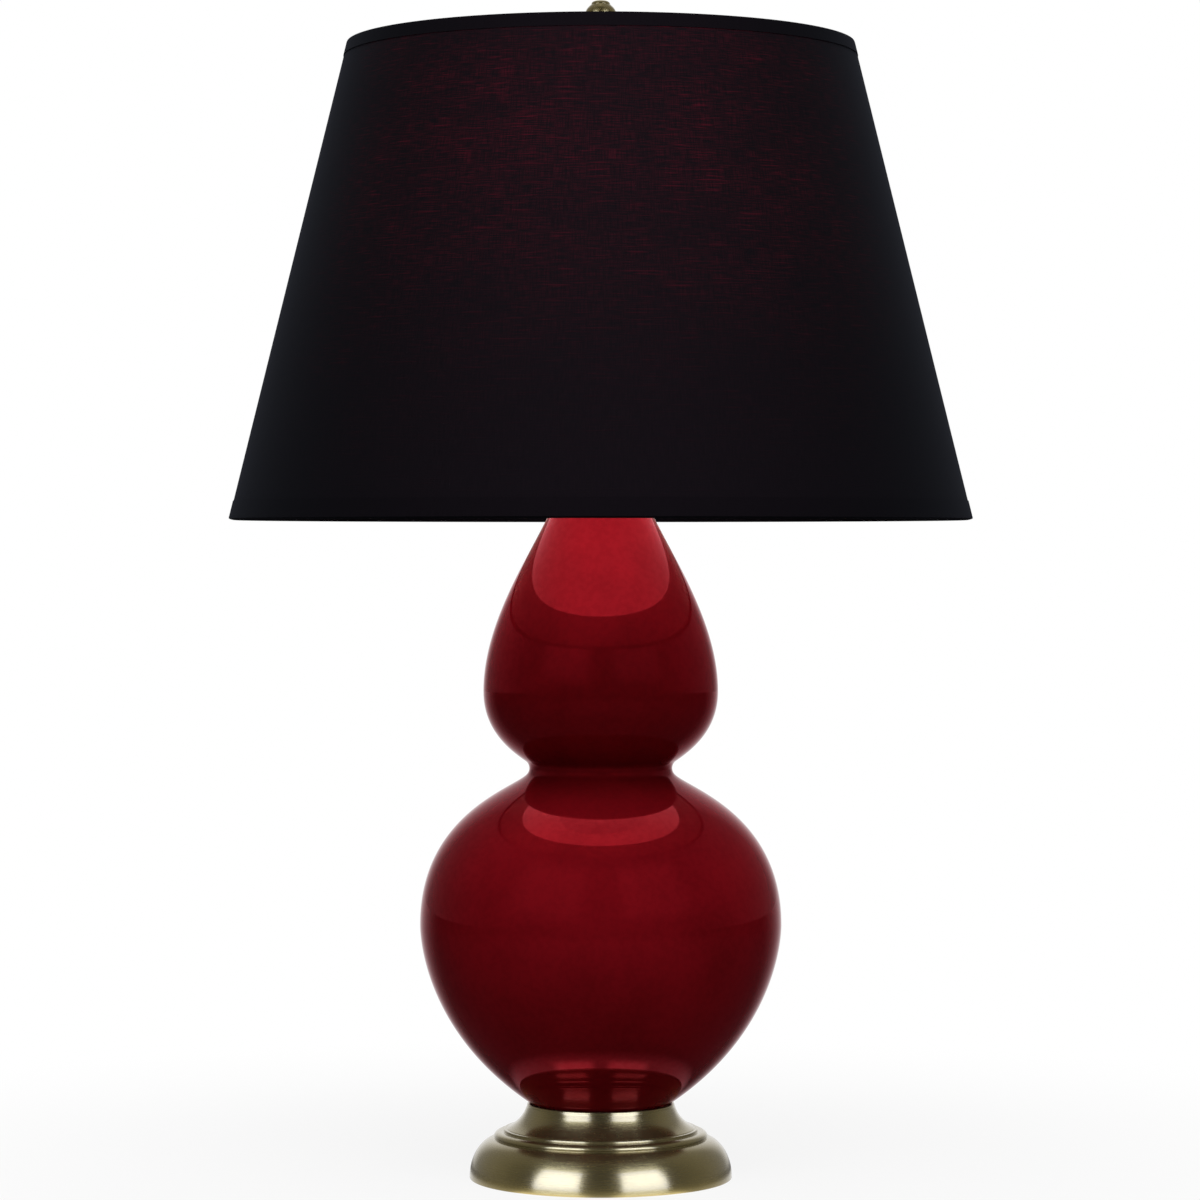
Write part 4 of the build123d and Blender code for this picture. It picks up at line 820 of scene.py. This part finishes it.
class BuildBulb(Builder, bpy.types.Operator):
    """The bulb: rolled screw cap with a real thread, blown glass and a coiled filament"""

    bl_idname = "lamp.build_bulb"
    bl_label = "Bulb"

    def execute(self, context):
        depth = context.scene.lamp_sizes.thread_depth / MM
        low, high, count = 555.8, 573.95, 72
        outer = threaded(12.3, depth, BULB_PITCH, low, (low, high), 1.2, np.linspace(low, high, 76), count)
        collar = [(12.3, high + 0.1), (13.1, 575.6), (13.1, 577.2), (12.9, 577.35)]
        inner = [(12.1, 577.35), (12.1, 575.6), (11.9, high), (11.9, low)]
        cap = grid_mesh("bulb_cap_rolled", np.vstack([outer, rings(collar + inner, count)]), closed=True)
        fitted(cap, "bulb", "screw_metal", "bulb_screw_cap")

        def glass(inset, count):
            """A straight neck, a flare, and a globe up to its top."""
            neck, centre, globe = (12.0 - inset, 584.35), (0.0, BULB_Z), 34.0 - inset
            low_side = along(centre, 128, globe)
            return joined(
                line((neck[0], 575.7), neck, 3),
                bezier(neck, along(neck, 0, 16.0), along(low_side, 218, 12.0), low_side, count),
                arc(centre, (globe, globe), 128, 0, count * 2),
            )

        outline = np.vstack([glass(0.0, 20), glass(0.8, 14)[::-1]])
        outline[:, 0] = np.where(outline[:, 0] < 1e-4, 0, outline[:, 0])
        bulb = turned("bulb_blown", joined(outline), 96, closed=True)
        fitted(bulb, "bulb", "frosted_glass", "bulb_glass")
        bulb.visible_shadow = False
        turns, reach, sag = 26, 10.6, 3.4
        across = np.linspace(-1, 1, turns * 14)
        spin = (across + 1) / 2 * turns * TAU
        wide = context.scene.lamp_sizes.coil_radius / MM * 0.72
        middle_z = 630.4 + sag * (1 - across**2)
        coil = np.stack([across * reach, wide * np.cos(spin), middle_z + wide * np.sin(spin)], 1)
        bend = np.gradient(np.gradient(coil, axis=0), axis=0)
        bend /= np.linalg.norm(bend, axis=1)[:, None]
        fitted(swept("filament_coil", coil, bend, 0.16, 6), "bulb", "filament", "bulb_filament")
        return {"FINISHED"}


class BuildHolder(Builder, bpy.types.Operator):
    """The lampholder's screw shell with its rolled thread, and the fluted turn knob"""

    bl_idname = "lamp.build_holder"
    bl_label = "Lampholder"

    def execute(self, context):
        depth = -0.35 * context.scene.lamp_sizes.thread_depth / MM
        low, high, count = 548.2, 570.2, 64

        def wall(base):
            """The rolled wall, whose groove starts half a pitch below it."""
            start, heights = low - BULB_PITCH / 2, np.linspace(low, high, 66)
            return threaded(base, depth, BULB_PITCH, start, (low, high), 2.0, heights, count)

        start = rings([(7.0, 547.4), (14.0, 547.4), (14.2, 547.6)], count)
        mouth = rings([(14.2, 570.3), (14.05, 570.4), (13.7, 570.4), (13.55, 570.3)], count)
        end = rings([(13.4, low), (7.0, low)], count)
        rows = np.vstack([start, wall(14.2), mouth, wall(13.55)[::-1], end])
        fitted(grid_mesh("screw_shell_rolled", rows, closed=True), "lamp_base", "screw_metal", "screw_shell")
        fitted(self.knob(), "switch", "knob_moulding", "switch_knob")
        return {"FINISHED"}

    def knob(self):
        """Knob along -Y: circles of a radius that follows its run, less a flute of (1 - ridge)^2, where the
        ridge is half of 1 + cos 12 A."""
        run = np.array([0.0, 0.0, 0.0, 0.4, 3.3, 3.7, 5.5, 8.0, 10.5, 12.6, 13.4, 13.8, 14.0, 14.0])
        wide = np.array([0.0, 2.5, 4.9, 5.4, 5.4, 5.35, 5.2, 5.0, 4.75, 4.55, 4.3, 3.9, 3.4, 0.0])
        flute = np.array([0, 0, 0, 0, 0, 0.6, 1, 1, 1, 1, 0.7, 0.3, 0, 0]) * 0.42
        turn = np.linspace(0, TAU, 144, endpoint=False)
        ridge = 0.5 + 0.5 * np.cos(12 * turn)
        radius = wide[:, None] - flute[:, None] * (1 - ridge[None]) ** 2
        along_y, height = -22.0 - run[:, None] + 0 * turn, 542.0 + radius * np.sin(turn)
        return grid_mesh("turn_knob", np.stack([radius * np.cos(turn), along_y, height], 2), crease=40)


class BuildHarp(Builder, bpy.types.Operator):
    """The harp's bent wire with its flattened boss, and the threaded stud that carries the shade"""

    bl_idname = "lamp.build_harp"
    bl_label = "Harp"

    def execute(self, context):
        flare = 565.4 + (62.0 - 28.6) / tan(radians(30.0))
        half = [(28.6, 513.6), (28.6, 565.4), (62.0, flare), (62.0, 740.4)]
        corners = [(x, 0.0, z) for x, z in half] + [(-x, 0.0, z) for x, z in half[::-1]]
        path = bent(corners, (60.0, 60.0, 50.0, 50.0, 60.0, 60.0), 2.2)
        wire = swept("harp_wire_bent", path, (0.0, 1.0, 0.0), 1.6, 20)
        fitted(wire, "harp", "harp_brass", "harp_wire")
        eye = joined(
            [(3.0, 738.8), (5.6, 738.8)],
            arc((5.6, 739.2), (0.4, 0.4), 180, 90, 4),
            arc((5.6, 741.6), (0.4, 0.4), 90, 0, 4),
            [(3.0, 742.0)],
        )
        fitted(turned("harp_eye", eye, 48, closed=True), "harp", "harp_brass")
        top, count = 758.0, 40
        heights = np.linspace(744.05, top, 120)
        pointed = 3.1 - np.clip(heights[:, None] - 757.0, 0, 1)
        body = threaded(pointed, -0.25, STUD_PITCH, -STUD_PITCH / 2, (745.0, 756.6), 1.0, heights, count)
        head = [(0, 736.2), (4.2, 736.2), (4.6, 736.6), (4.6, 738.2), (4.3, 738.6), (2.9, 738.6)]
        flange = [(2.9, 742.2), (9.3, 742.2), (9.5, 742.4), (9.5, 743.8), (9.3, 744.0), (3.15, 744.0)]
        stud = grid_mesh("stud_threaded", np.vstack([rings(head + flange, count), body, rings([(0, top)], count)]))
        fitted(stud, "shade_stud", "harp_brass", "harp_stud")
        return {"FINISHED"}


class DressFrame(Builder, bpy.types.Operator):
    """Gives every frame node that stays visible the material of its slot"""

    bl_idname = "lamp.dress_frame"
    bl_label = "Frame materials"

    def execute(self, context):
        for name, piece in frame["nodes"].items():
            piece.data.materials.clear()
            piece.data.materials.append(material(NODE_SLOT[name]))
        return {"FINISHED"}


# ---------------------------------------------------------------- the stage
class LampStage(bpy.types.PropertyGroup):
    """The camera's and the studio's settings."""

    lens: bpy.props.FloatProperty(name="Lens", description="Focal length on a 36 mm sensor", default=122.23,
                                  unit="CAMERA")
    distance: length("Distance", "From the camera to the lamp's axis", 2.722)
    height: length("Height", "Camera's height over the table", 0.4246)
    aim: length("Aim", "Height on the lamp's axis that the camera looks at", 0.3865)
    key: share("Overhead lamp", "Power of the soft lamp over the front, in watts", 48.0, 1000.0)
    side: share("Side lamps", "Power of each soft lamp at the front's sides, in watts", 5.0, 1000.0)
    panel: share("Side panels", "Power of each soft panel that the brass mirrors, in watts", 31.0, 1000.0)
    inside: share("Bulb", "Power of the lamp's own bulb, in watts", 0.55, 100.0)
    mouth: share("Shade's mouth", "Power of the soft light out of the shade on the glaze, in watts", 0.82, 100.0)


class BuildStage(Builder, bpy.types.Operator):
    """The floor, the white surroundings, the studio's lamps and the camera"""

    bl_idname = "lamp.build_stage"
    bl_label = "Stage"

    def execute(self, context):
        self.floor()
        self.surroundings(context)
        stage = context.scene.lamp_stage
        self.soft_lamp("key_lamp", (0.0, -1.3, 1.9), (0.0, 0.0, 0.25), 1.4, 1.0, stage.key)
        self.soft_lamp("left_lamp", (-1.5, -1.9, 1.1), (0.0, 0.0, 0.35), 1.0, 1.2, stage.side)
        self.soft_lamp("right_lamp", (1.5, -1.9, 1.1), (0.0, 0.0, 0.35), 1.0, 1.2, stage.side)
        finish = material("antique_brass")
        meshes = [piece for piece in bpy.data.objects if piece.type == "MESH"]
        brass_pieces = self.chosen("brass_pieces", [piece for piece in meshes if finish in piece.data.materials[:1]])
        for name, way in (("left_panel", -1), ("right_panel", 1)):
            place, aim = (way * 0.963, -1.19, 0.62), (0.0, 0.0, 0.62)
            panel = self.soft_lamp(name, place, aim, 1.15, 1.5, stage.panel)
            panel.data.color = (0.84, 1.0, 1.9)
            panel.visible_glossy = True
            panel.light_linking.receiver_collection = brass_pieces
        glazed_pieces = self.chosen("glazed_pieces", [bpy.data.objects["gourd_glazed"]])
        mouth = self.soft_lamp("mouth_light", (0.0, 0.0, 0.488), (0.0, 0.0, 0.0), 0.39, 0.39, stage.mouth)
        mouth.data.shape, mouth.visible_glossy = "DISK", True
        mouth.light_linking.receiver_collection = glazed_pieces
        bulb = bpy.data.lights.new("bulb_light", "POINT")
        bulb.energy, bulb.shadow_soft_size, bulb.color = stage.inside, 0.03, (1.0, 0.93, 0.82)
        lit = bpy.data.objects.new("bulb_light", bulb)
        lit.location = (0.0, 0.0, BULB_Z * MM)
        glass = self.chosen("glass_round_bulb_light", [bpy.data.objects["bulb_blown"]], "EXCLUDE")
        lit.light_linking.receiver_collection = glass
        context.scene.collection.objects.link(lit)
        self.camera(context, stage)
        return {"FINISHED"}

    def floor(self):
        """A round floor, in rings that widen from the lamp. Its white is for what the camera and clear glass see,
        and for what the lamp mirrors of it, but for the front. There the floor is painted dark, as painted shade of
        a dim room, in what the lamp mirrors and in the light it throws back, but for two painted bright patches by
        the foot, which only
        what the lamp mirrors shows: a painted reflection."""
        radius = np.concatenate([[0.0], np.geomspace(60.0, 9000.0, 40)])
        outline = np.stack([radius[::-1], 0 * radius], 1)
        floor = turned("floor", outline, 96)
        made = Finish("floor")
        made.set(Roughness=0.75, Specular_IOR_Level=0.1)
        path = made.add("ShaderNodeLightPath").outputs
        x, y, _, away = made.split(made.place)
        turn = made.from_front(x, y)
        # Painted shade: the floor in front is darker in what the lamp mirrors and in the light it throws back,
        # standing in for a dim room; the camera still sees it white.
        front = made.times(made.ramp(away, 0.095, 0.12), made.ramp(turn, radians(118), radians(170), 1.0, 0.0))
        unseen = made.maths("SUBTRACT", 1.0, path["Is Camera Ray"])
        speck = made.times(made.noise(made.place, 60.0, 3.0), 0.04)
        pale = made.mixed(speck, (0.5, 0.5, 0.5), (0.4, 0.4, 0.4))
        made.set(Base_Color=made.mixed(made.times(front, unseen), pale, (0.2, 0.2, 0.2)))
        mirrored = made.times(path["Is Glossy Ray"], made.maths("SUBTRACT", 1.0, front))
        seen = made.plus(path["Is Camera Ray"], mirrored, path["Is Transmission Ray"], clamp=True)
        factor = made.times(seen, made.ramp(away, 0.1, 0.8, 0.88, 1.0))
        # Painted reflection: two patches by the foot shine three times as bright, only in what the lamp mirrors, so
        # the foot's lower edge catches highlights.
        near = made.ramp(away, 0.092, 0.106, 1.0, 0.0)
        patches = made.times(made.band(turn, 2, 12, 34, 46), near, path["Is Glossy Ray"], 2.0)
        white = made.add("ShaderNodeEmission", {0: (1, 1, 1), 1: made.plus(patches, 1.0)}).outputs[0]
        both = made.add("ShaderNodeMixShader", {0: factor, 1: made.shader.outputs[0], 2: white}).outputs[0]
        made.fill(made.tree.nodes["Material Output"].inputs[0], both)
        floor.data.materials.append(made.material)

    def surroundings(self, context):
        """White wherever the camera and clear glass see it. What the metal and glaze mirror from the front is a
        dim room with two broad soft patches, white behind, and what lights the lamp is an even grey."""
        world = bpy.data.worlds.new("studio")
        context.scene.world = world
        world.use_nodes = True
        nodes = Nodes(world.node_tree)
        x, y, z, _ = nodes.split(nodes.add("ShaderNodeTexCoord").outputs["Generated"])
        turn, rise = nodes.from_front(x, y), nodes.maths("ARCSINE", z)
        panel = nodes.times(nodes.band(turn, 8, 20, 52, 68), nodes.band(rise, 2, 14, 40, 56), 0.3)
        behind = nodes.ramp(turn, radians(128), radians(172))
        dim = nodes.ramp(turn, radians(50), radians(125), 0.09, 0.38)
        mirrored = nodes.maths("MAXIMUM", nodes.plus(panel, dim), behind)
        path = nodes.add("ShaderNodeLightPath").outputs
        seen = nodes.plus(path["Is Camera Ray"], path["Is Transmission Ray"], clamp=True)
        on_lamp = nodes.times(path["Is Diffuse Ray"], 0.24)
        level = nodes.plus(nodes.times(mirrored, path["Is Glossy Ray"]), seen, on_lamp)
        grey = nodes.add("ShaderNodeCombineColor", {0: level, 1: level, 2: level}).outputs[0]
        nodes.fill(nodes.tree.nodes["Background"].inputs[0], grey)

    def chosen(self, name, pieces, state="INCLUDE"):
        """The pieces that a lamp lights alone, or that it leaves out."""
        made = bpy.data.collections.new(name)
        for piece in pieces:
            made.objects.link(piece)
        for entry in made.collection_objects:
            entry.light_linking.link_state = state
        return made

    def soft_lamp(self, name, place, aim, width, tall, power):
        """A flat lamp facing its aim, which nothing mirrors."""
        lamp = bpy.data.lights.new(name, "AREA")
        lamp.shape, lamp.size, lamp.size_y, lamp.energy = "RECTANGLE", width, tall, power
        made = bpy.data.objects.new(name, lamp)
        made.location = place
        made.rotation_euler = (Vector(aim) - Vector(place)).to_track_quat("-Z", "Y").to_euler()
        made.visible_glossy = False
        bpy.context.scene.collection.objects.link(made)
        return made

    def camera(self, context, stage):
        """The camera at the front, a hair to the left, and the plain view transform."""
        data = bpy.data.cameras.new("camera")
        data.lens, data.sensor_width = stage.lens, 36.0
        made = bpy.data.objects.new("camera", data)
        made.location = (-0.0005, -stage.distance, stage.height)
        aim = Vector((-0.0005, 0.0, stage.aim)) - Vector(made.location)
        made.rotation_euler = aim.to_track_quat("-Z", "Y").to_euler()
        context.scene.collection.objects.link(made)
        context.scene.camera = made
        context.scene.view_settings.view_transform = "Standard"


PIECES = (DressFrame, BuildGourd, BuildFoot, BuildNeck, BuildShade, BuildFinial, BuildBulb, BuildHolder, BuildHarp)


class LampPanel(bpy.types.Panel):
    """Lists the lamp's pieces and its finishes"""

    bl_label = "Double gourd lamp"
    bl_idname = "VIEW3D_PT_lamp"
    bl_space_type = "VIEW_3D"
    bl_region_type = "UI"
    bl_category = "Lamp"

    def draw(self, context):
        scene = context.scene
        for build in PIECES + (BuildStage,):
            self.layout.operator(build.bl_idname)
        groups = (("Sizes", scene.lamp_sizes), ("Finish", scene.lamp_finish), ("Stage", scene.lamp_stage))
        for title, settings in groups:
            box = self.layout.box()
            box.label(text=title)
            for name in settings.__annotations__:
                box.prop(settings, name)


CLASSES = (LampSizes, LampFinish, LampStage) + PIECES + (BuildStage, LampPanel)


def register():
    """Registers the classes, and hangs the settings on the scene."""
    for made in CLASSES:
        bpy.utils.register_class(made)
    bpy.types.Scene.lamp_sizes = bpy.props.PointerProperty(type=LampSizes)
    bpy.types.Scene.lamp_finish = bpy.props.PointerProperty(type=LampFinish)
    bpy.types.Scene.lamp_stage = bpy.props.PointerProperty(type=LampStage)


def unregister():
    """Takes the settings and the classes away again."""
    del bpy.types.Scene.lamp_sizes, bpy.types.Scene.lamp_finish, bpy.types.Scene.lamp_stage
    for made in reversed(CLASSES):
        bpy.utils.unregister_class(made)


def main():
    """Builds the lamp and its stage in order."""
    register()
    for build in PIECES + (BuildStage,):
        group_name, operator = build.bl_idname.split(".")
        getattr(getattr(bpy.ops, group_name), operator)()


if __name__ == "__main__":
    main()
